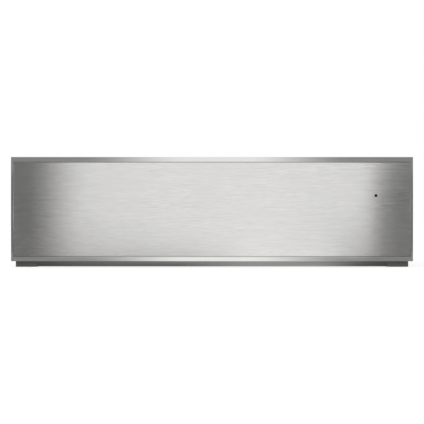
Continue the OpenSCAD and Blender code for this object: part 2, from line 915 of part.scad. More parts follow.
module ceiling_plate() {
    color("lightgray") slab(-x_wall, x_wall, y_body, y_back, z_ceiling, z_ceiling + sheet);
}

module back_wall() {
    color("lightgray") difference() {
        upright(y_back, sheet) field(-x_wall, x_wall, z_inside, z_flange);
        pin_y(0, fan_z, y_back - 1, sheet + 2, shaft_r + shaft_room);
        for (s = [-1, 1]) pin_y(s * leg_x, fan_z + leg_z, y_back - 1, sheet + 2, tube_r + fit_gap);
        pin_y(probe_x, probe_z, y_back - 1, sheet + 2, probe_r + fit_gap);
        for (p = loom_exits) pin_y(p[0], p[1], y_back - 1, sheet + 2, loom_r + loom_room);
        for (s = [-1, 1], t = [-1, 1])
            pin_y(s * cover_screw_x, fan_z + t * cover_screw_z, y_back - 1, 3, screw_r + rivet_play);
    }
}

// Mineral wool over the ceiling, and in the columns beside the drawer space
module insulation() {
    soft = 0.5;
    edge = flange_w + 1;
    loom_height = 6;
    box_room = 12;
    x0 = x_column + soft;
    x1 = x_wall - soft;
    z0 = z_inside + 2 * loom_r + loom_height;
    z1 = z_ceiling - sheet - soft;
    color("khaki") {
        slab(-x_wall + edge, x_wall - edge, y_body + edge, y_back - soft, z_ceiling + sheet, z_flange);
        difference() {
            slab(-x1, -x0, y_body + screw_l, y_back - soft, z_inside + sheet, z1);
            rivet_room(-1);
        }
        difference() {
            slab(x0, x1, y_box_end + box_room, y_back - soft, z0, z1);
            rivet_room(1);
        }
    }
}

// Room in the insulation for the heads of the runner rivets
module rivet_room(s) {
    for (y = runner_fix_y) scale([s, 1, 1])
        pin_x(y, runner_z, x_column - 1, rivet_head + 2, head_r + 1);
}

// ---------- fan and heater ----------

shaft_room = 2;
loom_room = 1;
probe_r = 2;
probe_x = 100;
probe_up = 30;
probe_z = fan_z + probe_up;

// Perforated front of the fan cover: round inlet, and a row of slots near each end
module cover_holes() {
    n = ceil(inlet_r / hole_pitch);
    row = hole_pitch * sqrt(3) / 2;
    for (j = [-n:n], i = [-n:n]) {
        x = (i + (abs(j) % 2) / 2) * hole_pitch;
        z = j * row;
        if (norm([x, z]) < inlet_r) translate([x, fan_z + z]) circle(r = hole_r, $fn = 24);
    }
    for (s = [-1, 1], i = [0:cover_slots - 1]) {
        x = s * (slot_x + i * cover_slot_pitch);
        field(x - cover_slot_w / 2, x + cover_slot_w / 2, fan_z - cover_slot_h / 2, fan_z + cover_slot_h / 2);
    }
}

module fan_cover() {
    x = cover_w / 2;
    z0 = fan_z - cover_h / 2;
    z1 = fan_z + cover_h / 2;
    color("lightgray") difference() {
        union() {
            slab(-x, x, y_fan_cover, y_back, z0, z1);
            slab(-x - cover_flange, x + cover_flange, y_back - sheet, y_back, z0, z1);
        }
        slab(-x + sheet, x - sheet, y_fan_cover + sheet, y_back + 1, z0 + sheet, z1 - sheet);
        upright(y_fan_cover - 1, 3) cover_holes();
        for (s = [-1, 1], t = [-1, 1])
            pin_y(s * cover_screw_x, fan_z + t * cover_screw_z, y_back - 2, 3, screw_r + screw_play);
    }
}

// Ring element with two legs through the back wall, and its fixing plate
module heating_element() {
    leg_past = 12;
    plate_margin = 10;
    plate_t = 2;
    plate_h = 16;
    y_leg_end = y_back + sheet + leg_past;
    color("dimgray") {
        translate([0, heater_y, fan_z]) rotate([90, 0, 0])
            rotate([0, 0, 90 + heater_leg_a])
                rotate_extrude(angle = 360 - 2 * heater_leg_a) translate([ring_r, 0]) circle(r = tube_r);
        for (s = [-1, 1]) {
            translate([s * leg_x, heater_y, fan_z + leg_z]) sphere(r = tube_r);
            pin_y(s * leg_x, fan_z + leg_z, heater_y, y_leg_end - heater_y, tube_r);
        }
        slab(-leg_x - plate_margin, leg_x + plate_margin, y_back + sheet, y_back + sheet + plate_t,
             fan_z + leg_z - plate_h / 2, fan_z + leg_z + plate_h / 2);
    }
}

module fan_wheel() {
    blade_l = 12;
    blade_thick = 1;
    blade_turn = 20;
    hub_set = 4;
    color("silver") difference() {
        union() {
            pin_y(0, fan_z, y_wheel + wheel_d - wheel_disc, wheel_disc, wheel_r);
            pin_y(0, fan_z, y_wheel + hub_set, wheel_d - hub_set, hub_r);
            difference() {
                pin_y(0, fan_z, y_wheel, wheel_disc, wheel_r);
                pin_y(0, fan_z, y_wheel - 1, wheel_disc + 2, wheel_r - wheel_rim);
            }
            for (i = [0:blades - 1]) translate([0, 0, fan_z]) rotate([0, i * 360 / blades, 0])
                translate([wheel_r - blade_l - 1, y_wheel, 0]) rotate([0, blade_turn, 0])
                    cube([blade_l, wheel_d, blade_thick]);
        }
        pin_y(0, fan_z, y_wheel - 1, wheel_d + 2, shaft_r + rivet_play);
    }
}

module fan_shaft() {
    shaft_in = 2;
    shaft_out = 7;
    y0 = y_wheel + shaft_in;
    color("silver") pin_y(0, fan_z, y0, y_motor + motor_t + shaft_out - y0, shaft_r);
}

// Shaded-pole motor: core, coil, two bearing bridges and four standoffs to the back wall
module fan_motor() {
    coil_in = 4;
    coil_h = 14;
    coil_front = 1;
    coil_rear = 3;
    bearing_r = 9;
    bearing_front = 2;
    bearing_rear = 4;
    post_r = 3.5;
    post_inset = 6;
    h = motor_side / 2;
    post = h - post_inset;
    color("darkgray") difference() {
        union() {
            slab(-h, h, y_motor, y_motor + motor_t, fan_z - h, fan_z + h);
            slab(-h + coil_in, h - coil_in, y_motor - coil_front, y_motor + motor_t + coil_rear,
                 fan_z - h - coil_h, fan_z - h);
            pin_y(0, fan_z, y_motor - bearing_front, motor_t + bearing_front + bearing_rear, bearing_r);
            for (s = [-1, 1], t = [-1, 1])
                pin_y(s * post, fan_z + t * post, y_back + sheet, motor_stand, post_r);
        }
        pin_y(0, fan_z, y_back, machine_d, shaft_r + run_play);
    }
}

module thermal_cutout() {
    can_r = 9;
    can_l = 8;
    pin_w = 6;
    pin_t = 0.8;
    pin_l = 6;
    pin_up = 4;
    strap_w = 28;
    strap_h = 8;
    strap_t = 1;
    x = -motor_side / 2 - 30;
    y0 = y_back + sheet;
    color("black") {
        pin_y(x, fan_z, y0, can_l, can_r);
        for (s = [-1, 1])
            slab(x - pin_w / 2, x + pin_w / 2, y0 + can_l - 0.5, y0 + can_l + pin_l,
                 fan_z + s * pin_up - pin_t / 2, fan_z + s * pin_up + pin_t / 2);
        slab(x - strap_w / 2, x + strap_w / 2, y0, y0 + strap_t, fan_z - strap_h / 2, fan_z + strap_h / 2);
    }
}

// Probe through the back wall, with a flange behind it
module temperature_probe() {
    reach_in = 22;
    reach_out = 12;
    flange_t = 3;
    flange_over = 3;
    color("silver") {
        pin_y(probe_x, probe_z, y_back - reach_in, reach_in + sheet + reach_out, probe_r);
        pin_y(probe_x, probe_z, y_back + sheet, flange_t, probe_r + flange_over);
    }
}

// ---------- controls ----------

// Box behind the right fascia, open to the front, with a slot for the looms behind
module control_box() {
    slot_half = 12;
    slot_top = 12;
    color("darkslategray") difference() {
        slab(box_x0, box_x1, y_box, y_box_end, box_z0, box_z0 + box_h);
        slab(box_x0 + box_wall, box_x1 - box_wall, y_box - 1, y_box_end - box_wall,
             box_z0 + box_wall, box_z0 + box_h - box_wall);
        slab(x_knob - slot_half, x_knob + slot_half, y_box_end - box_wall - 1, y_box_end + 1,
             box_z0 + box_wall, box_z0 + slot_top);
    }
}

// Circuit board with its relay, transformer, capacitors, terminals and lamp
module circuit_board() {
    inset = box_wall + 0.2;
    x0 = box_x0 + inset;
    x1 = box_x1 - inset;
    z0 = box_z0 + inset;
    z1 = box_z0 + box_h - inset;
    y1 = y_board + board_t;
    color("darkgreen") {
        slab(x0, x1, y_board, y1, z0, z1);
        slab(x0 + part_margin, x0 + part_margin + relay[0], y1, y1 + relay[1],
             z0 + parts_up, z0 + parts_up + relay[2]);
        slab(x1 - part_margin - transformer[0], x1 - part_margin, y1, y1 + transformer[1],
             z0 + parts_up, z0 + parts_up + transformer[2]);
        for (i = [0, 1])
            pin_y(x0 + part_margin + 2 * capacitor_r + capacitor_pitch * i,
                  z1 - part_margin - 3 * capacitor_r, y1, capacitor_l, capacitor_r);
        slab(x0 + part_margin, x1 - part_margin, y1, y1 + terminal_d,
             z0 + part_margin / 2, z0 + part_margin / 2 + terminal_h);
        pin_y(x_lamp, lamp_z, y_board - lamp_l, lamp_l, lamp_r);
    }
}

module rotary_switch() {
    neck_r = 5;
    h = switch_side / 2;
    color("black") difference() {
        union() {
            slab(x_knob - h, x_knob + h, y_switch, y_board, knob_z - h, knob_z + h);
            pin_y(x_knob, knob_z, y_bowl_floor + bowl_wall, y_switch - y_bowl_floor - bowl_wall, neck_r);
        }
        pin_y(x_knob, knob_z, y_bowl_floor, y_board - y_bowl_floor + 1, spindle_r + run_play);
    }
}

module switch_spindle() {
    color("silver") pin_y(x_knob, knob_z, y_skirt, y_board - 1 - y_skirt, spindle_r);
}

// Knob, level with the fascia plate: a skirt and a raised grip across it
module control_knob() {
    y0 = y_fascia + knob_setback;
    y1 = y_bowl_floor - knob_gap;
    color("black") difference() {
        union() {
            pin_y(x_knob, knob_z, y_skirt, y1 - y_skirt, knob_r);
            intersection() {
                pin_y(x_knob, knob_z, y0, grip_l + 1, knob_r);
                slab(x_knob - grip_w / 2, x_knob + grip_w / 2, y_fascia, y_skirt + 1,
                     knob_z - 2 * knob_r, knob_z + 2 * knob_r);
            }
        }
        pin_y(x_knob, knob_z, y_skirt, bowl_d, spindle_r + rivet_play);
    }
}

// Hollow round the knob: a cup with a thin bezel on the fascia plate
module knob_bowl() {
    r = bowl_r + bowl_wall;
    color("black") difference() {
        union() {
            pin_y(x_knob, knob_z, y_fascia, bowl_d + bowl_wall, r);
            pin_y(x_knob, knob_z, y_fascia - bezel_t, bezel_t, r + bezel_w);
        }
        pin_y(x_knob, knob_z, y_fascia - bezel_t - 1, bowl_d + bezel_t + 1, bowl_r);
        pin_y(x_knob, knob_z, y_fascia, bowl_d + 5, spindle_r + screw_play);
    }
}

// Rod that carries the lamp's light from the circuit board to the fascia plate
module light_guide() {
    y0 = y_fascia;
    color("white") pin_y(x_lamp, lamp_z, y0, y_board - lamp_l - fit_gap - y0, lens_d / 2);
}

// ---------- mains inlet and wiring ----------

// Socket with chamfered upper corners, three blades, and tabs behind
module mains_inlet() {
    z0 = inlet_z - socket_h / 2;
    z1 = inlet_z + socket_h / 2;
    y_floor = y_rear - socket_d;
    y_end = y_floor - inlet_back;
    cut = 4;
    color("dimgray") {
        difference() {
            union() {
                upright(y_end, y_rear - y_end)
                    field(x_inlet - inlet_body_w / 2, x_inlet + inlet_body_w / 2,
                          z0 - socket_wall, z1 + socket_wall);
                upright(y_cover - inlet_flange, inlet_flange)
                    field(x_inlet - inlet_body_w / 2 - inlet_ear, x_inlet + inlet_body_w / 2 + inlet_ear,
                          z0 - socket_wall - inlet_rim, z1 + socket_wall + inlet_rim);
            }
            for (s = [-1, 1])
                pin_y(x_inlet + s * inlet_screw_x, inlet_z, y_cover - 4, 5, screw_r + rivet_play);
            upright(y_floor, socket_d + 1) polygon([
                [x_inlet - socket_w / 2, z0], [x_inlet + socket_w / 2, z0],
                [x_inlet + socket_w / 2, z1 - cut], [x_inlet + socket_w / 2 - cut, z1],
                [x_inlet - socket_w / 2 + cut, z1], [x_inlet - socket_w / 2, z1 - cut]
            ]);
        }
        for (b = [[-blade_pitch, -blade_drop], [blade_pitch, -blade_drop], [0, blade_drop]]) {
            x = x_inlet + b[0];
            z = inlet_z + b[1];
            slab(x - blade_w / 2, x + blade_w / 2, y_floor - 1, y_rear - blade_set,
                 z - blade_h / 2, z + blade_h / 2);
            slab(x - tab_t / 2, x + tab_t / 2, y_end - tab_l, y_end + 1, z - tab_w / 2, z + tab_w / 2);
        }
    }
}

// Where the looms pass through the back wall, in X and Z
loom_lift = 3;
loom_spread = 8;
loom_z = z_inside + loom_r + loom_lift;
loom_exits = [[x_knob - loom_spread, loom_z], [x_knob + loom_spread, loom_z]];

// Two looms from the control box: one to the mains inlet, one to the heater and fan
module wiring_loom() {
    entry_up = 8.5;
    box_clear = 6;
    wall_clear = 8;
    riser_gap = 18;
    tab_past = 4;
    y_in = y_board + board_t + terminal_d;
    y_down = y_box_end + box_clear;
    y_run = y_back + sheet + wall_clear;
    x_riser = motor_side / 2 + riser_gap;
    z_box = box_z0 + entry_up;
    a = loom_exits[0];
    b = loom_exits[1];
    tabs_y = y_rear - socket_d - inlet_back - tab_l - loom_r;
    color("dimgray") {
        loom([[b[0], y_in, z_box], [b[0], y_down, z_box], [b[0], y_down, b[1]],
              [b[0], tabs_y, b[1]], [b[0], tabs_y, inlet_z], [x_inlet + tab_past, tabs_y, inlet_z]]);
        loom([[a[0], y_in, z_box], [a[0], y_down, z_box], [a[0], y_down, a[1]],
              [a[0], y_run, a[1]], [x_riser, y_run, a[1]], [x_riser, y_run, fan_z + leg_z],
              [leg_x + tube_r, y_run, fan_z + leg_z]]);
    }
}

// ---------- push latch ----------

// Housing on the base plate, open to the front
module latch_housing() {
    w = slider_w / 2 + latch_gap;
    color("dimgray") difference() {
        slab(-latch_w / 2, latch_w / 2, y_latch, y_latch_end, z_inside, z_inside + latch_h);
        slab(-w, w, y_latch - 1, y_latch_end - latch_wall, z_inside + latch_wall,
             z_inside + latch_h - latch_wall);
        for (s = [-1, 1])
            translate([s * latch_screw_x, y_latch + latch_l / 2, z_inside + latch_h - sheet]) {
                countersink(screw_play);
                translate([0, 0, -latch_h]) cylinder(h = latch_h, r = screw_r + screw_play);
            }
    }
}

// Slider with a fork for the striker's tongue
module latch_slider() {
    color("whitesmoke") difference() {
        slab(-slider_w / 2, slider_w / 2, y_slider, y_slider + slider_l, z_slider, z_slider + slider_h);
        slab(-slot_w / 2, slot_w / 2, y_slider - 1, y_slider + slot_d, z_slider - 1,
             z_slider + slider_h + 1);
    }
}

// Coil spring behind the slider: one wire, swept round a helix whose axis is Y
spring_rings = 12;
wire_sides = 6;
function spring_point(t) =
    let (r = (spring_d - wire_d) / 2, a = 360 * spring_turns * t,
         y = spring_y0 + wire_d / 2 + t * (spring_y1 - spring_y0 - wire_d))
    [r * cos(a), y, z_slider + slider_h / 2 + r * sin(a)];
function spring_out(t) =
    let (a = 360 * spring_turns * t) [cos(a), 0, sin(a)];

module latch_spring() {
    n = spring_turns * spring_rings;
    points = [for (i = [0:n], k = [0:wire_sides - 1])
        let (t = i / n, a = 360 * k / wire_sides)
        spring_point(t) + wire_d / 2 * (cos(a) * spring_out(t) + sin(a) * [0, 1, 0])];
    last = n * wire_sides;
    sides = [for (i = [0:n - 1], k = [0:wire_sides - 1])
        let (j = (k + 1) % wire_sides, p = i * wire_sides, q = p + wire_sides)
        each [[p + k, p + j, q + j], [p + k, q + j, q + k]]];
    ends = [[for (k = [wire_sides - 1:-1:0]) k], [for (k = [0:wire_sides - 1]) last + k]];
    color("silver") polyhedron(points, concat(sides, ends));
}

// ---------- fixings ----------

// Flush screws in the top and rear covers, screws in the fascia plates, runner rivets
module carcass_fixings() {
    color("gray") for (s = [-1, 1]) scale([s, 1, 1]) {
        for (y = top_screws_y) translate([flange_mid, y, z_lid]) {
            countersink(0);
            translate([0, 0, -screw_l]) cylinder(h = screw_l + 0.1, r = screw_r);
        }
        for (z = rear_screws_z) translate([flange_mid, y_cover, z]) rotate([-90, 0, 0]) {
            countersink(0);
            translate([0, 0, -screw_l]) cylinder(h = screw_l + 0.1, r = screw_r);
        }
        for (z = fascia_screws_z) {
            pin_y(fascia_screw_x, z, y_fascia - front_head, front_head, head_r);
            pin_y(fascia_screw_x, z, y_fascia - 0.1, fascia_t + sheet + 2, screw_r);
        }
        for (y = runner_fix_y) {
            pin_x(y, runner_z, x_column, rivet_head, head_r);
            pin_x(y, runner_z, x_liner - web_t, web_t + sheet + 0.1, screw_r);
        }
        for (t = [-1, 1]) {
            pin_y(cover_screw_x, fan_z + t * cover_screw_z, y_back - sheet - front_head, front_head, head_r);
            pin_y(cover_screw_x, fan_z + t * cover_screw_z, y_back - sheet - 0.1, screw_l, screw_r);
        }
        translate([latch_screw_x, y_latch + latch_l / 2, z_inside + latch_h - sheet]) {
            countersink(0);
            translate([0, 0, z_base - z_inside - latch_h + sheet])
                cylinder(h = latch_h + z_inside - z_base - sheet + 0.1, r = screw_r);
        }
    }
    color("gray") for (s = [-1, 1])
        translate([x_inlet + s * inlet_screw_x, y_cover, inlet_z]) rotate([-90, 0, 0]) {
            countersink(0);
            translate([0, 0, -screw_l]) cylinder(h = screw_l + 0.1, r = screw_r);
        }
}

module closing_buffers() {
    color("dimgray") for (s = [-1, 1], z = buffer_z)
        pin_y(s * buffer_x, z, y_fascia - buffer_t, buffer_t, buffer_r);
}

front_frame();
front_panel();
front_core();
front_inner_panel();
indicator_lens();
drawer_floor();
drawer_left_side();
drawer_right_side();
drawer_rear_wall();
glass_floor();
glass_pads();
nonslip_mat();
drawer_fixings();
latch_striker();
left_runner_inner();
right_runner_inner();
left_runner_middle();
right_runner_middle();
left_runner_outer();
right_runner_outer();
left_outer_ball_cage();
right_outer_ball_cage();
left_inner_ball_cage();
right_inner_ball_cage();
base_plate();
left_side_panel();
right_side_panel();
top_cover();
rear_cover();
base_strip();
header_rail();
left_fascia();
right_fascia();
left_liner();
right_liner();
ceiling_plate();
back_wall();
insulation();
fan_cover();
heating_element();
fan_motor();
fan_wheel();
fan_shaft();
thermal_cutout();
temperature_probe();
control_box();
circuit_board();
rotary_switch();
switch_spindle();
control_knob();
knob_bowl();
light_guide();
mains_inlet();
wiring_loom();
latch_housing();
latch_slider();
latch_spring();
carcass_fixings();
closing_buffers();
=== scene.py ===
"""Dresses a built-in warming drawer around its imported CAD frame.

Lengths are in metres in the CAD's own frame: the front faces -Y, X runs to the right and Z is up.
"""

import json
import logging
import math
from collections.abc import Callable, Sequence
from dataclasses import dataclass, field
from enum import Enum

import bmesh
import bpy
import numpy as np
from mathutils import Euler, Matrix, Vector, noise

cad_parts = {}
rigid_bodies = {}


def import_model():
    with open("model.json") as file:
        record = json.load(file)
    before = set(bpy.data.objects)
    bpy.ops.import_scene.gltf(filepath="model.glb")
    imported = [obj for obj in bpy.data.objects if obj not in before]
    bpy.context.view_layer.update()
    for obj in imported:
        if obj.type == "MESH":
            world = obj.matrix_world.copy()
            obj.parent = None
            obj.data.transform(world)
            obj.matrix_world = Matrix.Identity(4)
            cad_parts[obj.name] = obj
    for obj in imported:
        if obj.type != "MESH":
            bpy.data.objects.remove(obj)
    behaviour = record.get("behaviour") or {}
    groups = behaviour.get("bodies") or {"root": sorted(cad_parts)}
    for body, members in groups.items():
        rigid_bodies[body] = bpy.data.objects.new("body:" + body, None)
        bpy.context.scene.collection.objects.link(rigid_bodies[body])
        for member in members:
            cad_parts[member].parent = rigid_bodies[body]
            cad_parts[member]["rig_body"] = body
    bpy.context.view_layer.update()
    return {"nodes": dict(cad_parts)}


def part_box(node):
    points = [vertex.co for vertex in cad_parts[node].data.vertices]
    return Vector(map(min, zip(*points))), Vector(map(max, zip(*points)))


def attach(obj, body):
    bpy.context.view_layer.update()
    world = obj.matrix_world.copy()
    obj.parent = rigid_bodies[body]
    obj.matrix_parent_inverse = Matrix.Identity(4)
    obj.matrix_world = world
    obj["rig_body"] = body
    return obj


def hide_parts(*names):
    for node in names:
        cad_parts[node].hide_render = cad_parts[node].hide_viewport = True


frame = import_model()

log = logging.getLogger("warming_drawer")

Triple = tuple[float, float, float]
Colour = Triple
Span = tuple[float, float]
Socket = bpy.types.NodeSocket
Sockets = bpy.types.NodeOutputs
Tree = bpy.types.NodeTree
Piece = bpy.types.Object
BMesh = bmesh.types.BMesh

MM = 0.001
FACE_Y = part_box("front_frame")[0].y
ACROSS = "across_grain"
SEED = 7


def middle(node: str) -> Vector:
    """The centre of a CAD node's box."""
    low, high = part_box(node)
    return (Vector(low) + Vector(high)) / 2


KNOB = middle("control_knob")
FAN_Z = middle("fan_wheel").z


class Axis(Enum):
    """An axis of the frame, by its place in a vector."""

    X = 0
    Y = 1
    Z = 2


class Effect(Enum):
    """A surface effect that several materials share."""

    BRUSH = "brush marks"
    SMUDGE = "smudges"
    WEAR = "edge wear"
    DUST = "settled dust"
    SPANGLE = "zinc spangle"
    FIBRE = "fibres"
    GRAIN = "moulded grain"
    STACK = "stacked lines"


# ---------- node trees ----------


class Graph:
    """Adds nodes to one tree and links them."""

    def __init__(self, tree: Tree) -> None:
        """Keeps the tree that gets the nodes."""
        self.tree = tree

    def add(self, kind: str, sockets: dict | None = None, **settings: object) -> bpy.types.Node:
        """Adds one node.

        Args:
            kind: the node's type name.
            sockets: a value, a socket or a node for each of its inputs, by name or place.
            settings: the node's own properties.

        Returns:
            The new node.
        """
        node = self.tree.nodes.new(kind)
        for name, value in settings.items():
            setattr(node, name, value)
        for name, value in (sockets or {}).items():
            self.feed(node.inputs[name], value)
        return node

    def feed(self, socket: Socket, value: object) -> None:
        """Links a socket or a node's first output to an input, or sets its value.

        Args:
            socket: the input.
            value: a socket, a node or a plain value.
        """
        if isinstance(value, bpy.types.Node):
            value = value.outputs[0]
        if isinstance(value, Socket):
            self.tree.links.new(value, socket)
        else:
            socket.default_value = value

    def math(self, operation: str, a: object, b: object = 0.0, clamp: bool = False) -> Socket:
        """One step of arithmetic, whose result may be kept from 0 to 1."""
        return self.add("ShaderNodeMath", {0: a, 1: b}, operation=operation, use_clamp=clamp).outputs[0]

    def times(self, a: object, b: object, clamp: bool = False) -> Socket:
        """One value times another."""
        return self.math("MULTIPLY", a, b, clamp)

    def plus(self, a: object, b: object) -> Socket:
        """One value added to another."""
        return self.math("ADD", a, b)

    def level(self, value: object, gain: float, start: float) -> Socket:
        """A value times a gain, on top of where it starts."""
        return self.plus(self.times(value, gain), start)

    def blend(self, a: object, part: float, b: object) -> Socket:
        """So much of one value with the rest of another."""
        return self.plus(self.times(a, part), self.times(b, 1.0 - part))

    def turn_into(self, a: object, b: object, share: object) -> Socket:
        """One value turning into another as a share goes from 0 to 1."""
        return self.plus(a, self.times(self.math("SUBTRACT", b, a), share))

    def scaled(self, vector: object, by: Sequence[float] | Socket) -> Socket:
        """A vector times another, one axis at a time."""
        return self.add("ShaderNodeVectorMath", {0: vector, 1: by}, operation="MULTIPLY").outputs[0]

    def remap(self, value: object, low: float, high: float, to: Span = (0.0, 1.0),
              soft: bool = False) -> Socket:
        """Maps a range of a value onto another.

        Args:
            value: the value's socket.
            low: where the range starts.
            high: where it ends.
            to: the range that it becomes.
            soft: whether both ends are eased.

        Returns:
            The new value's socket.
        """
        kind = "SMOOTHSTEP" if soft else "LINEAR"
        ends = {"Value": value, "From Min": low, "From Max": high, "To Min": to[0], "To Max": to[1]}
        return self.add("ShaderNodeMapRange", ends, interpolation_type=kind).outputs[0]

    def hill(self, value: Socket, rise: Span, fall: Span) -> Socket:
        """A level that rises from 0 to 1 over one range and falls again over another."""
        up = self.remap(value, *rise, soft=True)
        return self.times(up, self.remap(value, *fall, (1.0, 0.0), soft=True))

    def mix(self, share: object, a: object, b: object) -> Socket:
        """Mixes two colours.

        Args:
            share: how much of the second there is.
            a: the first colour, as three numbers or a socket.
            b: the second colour.

        Returns:
            The colour's socket.
        """
        a, b = ((*c, 1.0) if isinstance(c, tuple) else c for c in (a, b))
        # Inputs 6 and 7 are the node's two colours, and output 2 is the mixed one.
        return self.add("ShaderNodeMix", {0: share, 6: a, 7: b}, data_type="RGBA").outputs[2]

    def noise(self, vector: object, scale: object, detail: float = 2.0, rough: float = 0.5) -> Socket:
        """Noise of so many features per unit length, from 0 to 1."""
        sockets = {"Vector": vector, "Scale": scale, "Detail": detail, "Roughness": rough}
        return self.add("ShaderNodeTexNoise", sockets).outputs[0]

    def axes(self, vector: object) -> Sockets:
        """The three numbers of a vector."""
        return self.add("ShaderNodeSeparateXYZ", {0: vector}).outputs

    def moved(self, shape: object, by: object) -> Socket:
        """A geometry moved by a vector."""
        return self.add("GeometryNodeTransform", {"Geometry": shape, "Translation": by}).outputs[0]


def emptied(owner: bpy.types.Material | bpy.types.World) -> Graph:
    """Gives a material or the world an empty node tree.

    Args:
        owner: the material or the world.

    Returns:
        Its tree, ready for nodes.
    """
    owner.use_nodes = True
    owner.node_tree.nodes.clear()
    return Graph(owner.node_tree)


SOCKETS = {float: "NodeSocketFloat", tuple: "NodeSocketVector", int: "NodeSocketInt"}


def name_sockets(tree: Tree, way: str, sockets: dict[str, object]) -> dict[str, str]:
    """Gives a group its named inputs or outputs.

    Args:
        tree: the group.
        way: INPUT or OUTPUT.
        sockets: each socket's name, with its default value or its type.

    Returns:
        Each socket's identifier by its name.
    """
    found = {}
    for name, value in sockets.items():
        kind = value if isinstance(value, str) else SOCKETS[type(value)]
        socket = tree.interface.new_socket(name=name, in_out=way, socket_type=kind)
        if way == "INPUT" and kind != value:
            socket.default_value = value
        found[name] = socket.identifier
    return found


def brush_marks(g: Graph, given: Sockets) -> dict[str, Socket]:
    """Fine marks along X over a coarser layer.

    Args:
        g: the group's tree.
        given: the group's inputs. Run is how many times as long as wide a mark is.

    Returns:
        The group's outputs.
    """
    thin = g.add("ShaderNodeCombineXYZ", {0: g.math("DIVIDE", 1.0, given["Run"]), 1: 1.0, 2: 1.0})
    line = g.scaled(given["Vector"], thin.outputs[0])
    fine = g.noise(line, given["Lines"], 3.0, 0.65)
    broad = g.noise(line, g.times(given["Lines"], 0.3), 2.0)
    return {"Tone": g.remap(g.blend(fine, 0.75, broad), 0.33, 0.67), "Height": fine}


def smudges(g: Graph, given: Sockets) -> dict[str, Socket]:
    """Soft uneven patches, where hands and cloths have been.

    Args:
        g: the group's tree.
        given: the group's inputs. Scale is how many patches there are to a metre.

    Returns:
        The group's outputs.
    """
    wide = g.noise(given["Vector"], given["Scale"], 4.0, 0.55)
    fine = g.noise(given["Vector"], g.times(given["Scale"], 9.0), 2.0)
    return {"Mask": g.remap(g.blend(wide, 0.8, fine), 0.38, 0.66, soft=True)}


def edge_wear(g: Graph, given: Sockets) -> dict[str, Socket]:
    """Where an edge is near, broken up by noise.

    Args:
        g: the group's tree.
        given: the group's inputs. Radius is how far from an edge the wear reaches.

    Returns:
        The group's outputs.
    """
    rounded = g.add("ShaderNodeBevel", {"Radius": given["Radius"]}, samples=4)
    plain = g.add("ShaderNodeNewGeometry").outputs["Normal"]
    turn = g.add("ShaderNodeVectorMath", {0: rounded.outputs[0], 1: plain}, operation="DOT_PRODUCT")
    edge = g.remap(turn.outputs["Value"], 0.995, 0.8)
    broken = g.remap(g.noise(given["Vector"], 420.0, 3.0), 0.35, 0.65)
    return {"Mask": g.times(g.times(edge, broken), given["Amount"], clamp=True)}


def settled_dust(g: Graph, given: Sockets) -> dict[str, Socket]:
    """A faint film on what faces up.

    Args:
        g: the group's tree.
        given: the group's inputs. Amount is how thick the film is, from 0 to 1.

    Returns:
        The group's outputs.
    """
    normal = g.add("ShaderNodeNewGeometry").outputs["Normal"]
    up = g.remap(g.axes(normal)["Z"], 0.3, 0.95)
    patchy = g.remap(g.noise(given["Vector"], 30.0, 6.0, 0.7), 0.35, 0.75)
    return {"Mask": g.times(g.times(up, patchy), given["Amount"], clamp=True)}


def zinc_spangle(g: Graph, given: Sockets) -> dict[str, Socket]:
    """Crystals of a hot-dipped zinc coat, each with its own tone.

    Args:
        g: the group's tree.
        given: the group's inputs. Crystals is how many there are to a metre.

    Returns:
        The group's outputs.
    """
    bent = g.add("ShaderNodeTexNoise", {"Vector": given["Vector"], "Scale": 90.0, "Detail": 2.0})
    shift = g.scaled(bent.outputs["Color"], (0.012, 0.012, 0.012))
    at = g.add("ShaderNodeVectorMath", {0: given["Vector"], 1: shift}, operation="ADD")
    cell = g.add("ShaderNodeTexVoronoi", {"Vector": at.outputs[0], "Scale": given["Crystals"]})
    tone = g.add("ShaderNodeSeparateColor", {0: cell.outputs["Color"]}).outputs[0]
    feather = g.noise(at.outputs[0], g.times(given["Crystals"], 6.0), 3.0)
    return {"Tone": g.blend(tone, 0.7, feather), "Height": cell.outputs["Distance"]}


def fibres(g: Graph, given: Sockets) -> dict[str, Socket]:
    """Matted strands that run in two directions.

    Args:
        g: the group's tree.
        given: the group's inputs. Strands is how many there are to a metre.

    Returns:
        The group's outputs.
    """
    tones = []
    for turn in (0.35, -0.5):
        at = g.add("ShaderNodeMapping", {"Vector": given["Vector"], "Rotation": (turn, turn, turn)})
        tones.append(g.noise(g.scaled(at, (1.0, 9.0, 6.0)), given["Strands"], 5.0, 0.7))
    both = g.math("MAXIMUM", *tones)
    return {"Tone": g.remap(both, 0.4, 0.72), "Height": both}


def moulded_grain(g: Graph, given: Sockets) -> dict[str, Socket]:
    """The fine pebbled skin of a spark-eroded mould.

    Args:
        g: the group's tree.
        given: the group's inputs. Pebbles is how many there are to a metre.

    Returns:
        The group's outputs.
    """
    sockets = {"Vector": given["Vector"], "Scale": given["Pebbles"]}
    cell = g.add("ShaderNodeTexVoronoi", sockets, feature="SMOOTH_F1")
    soft = g.noise(given["Vector"], g.times(given["Pebbles"], 0.12), 3.0)
    return {"Height": cell.outputs["Distance"], "Tone": g.remap(soft, 0.35, 0.65)}


def stacked_lines(g: Graph, given: Sockets) -> dict[str, Socket]:
    """Parallel edges of stacked sheets or wound wire, across X.

    Args:
        g: the group's tree.
        given: the group's inputs. Sheets sets how many lines there are.

    Returns:
        The group's outputs.
    """
    sockets = {"Vector": given["Vector"], "Scale": given["Sheets"], "Distortion": 0.15, "Detail": 1.0}
    wave = g.add("ShaderNodeTexWave", sockets, bands_direction="X").outputs["Fac"]
    return {"Tone": wave, "Height": wave}


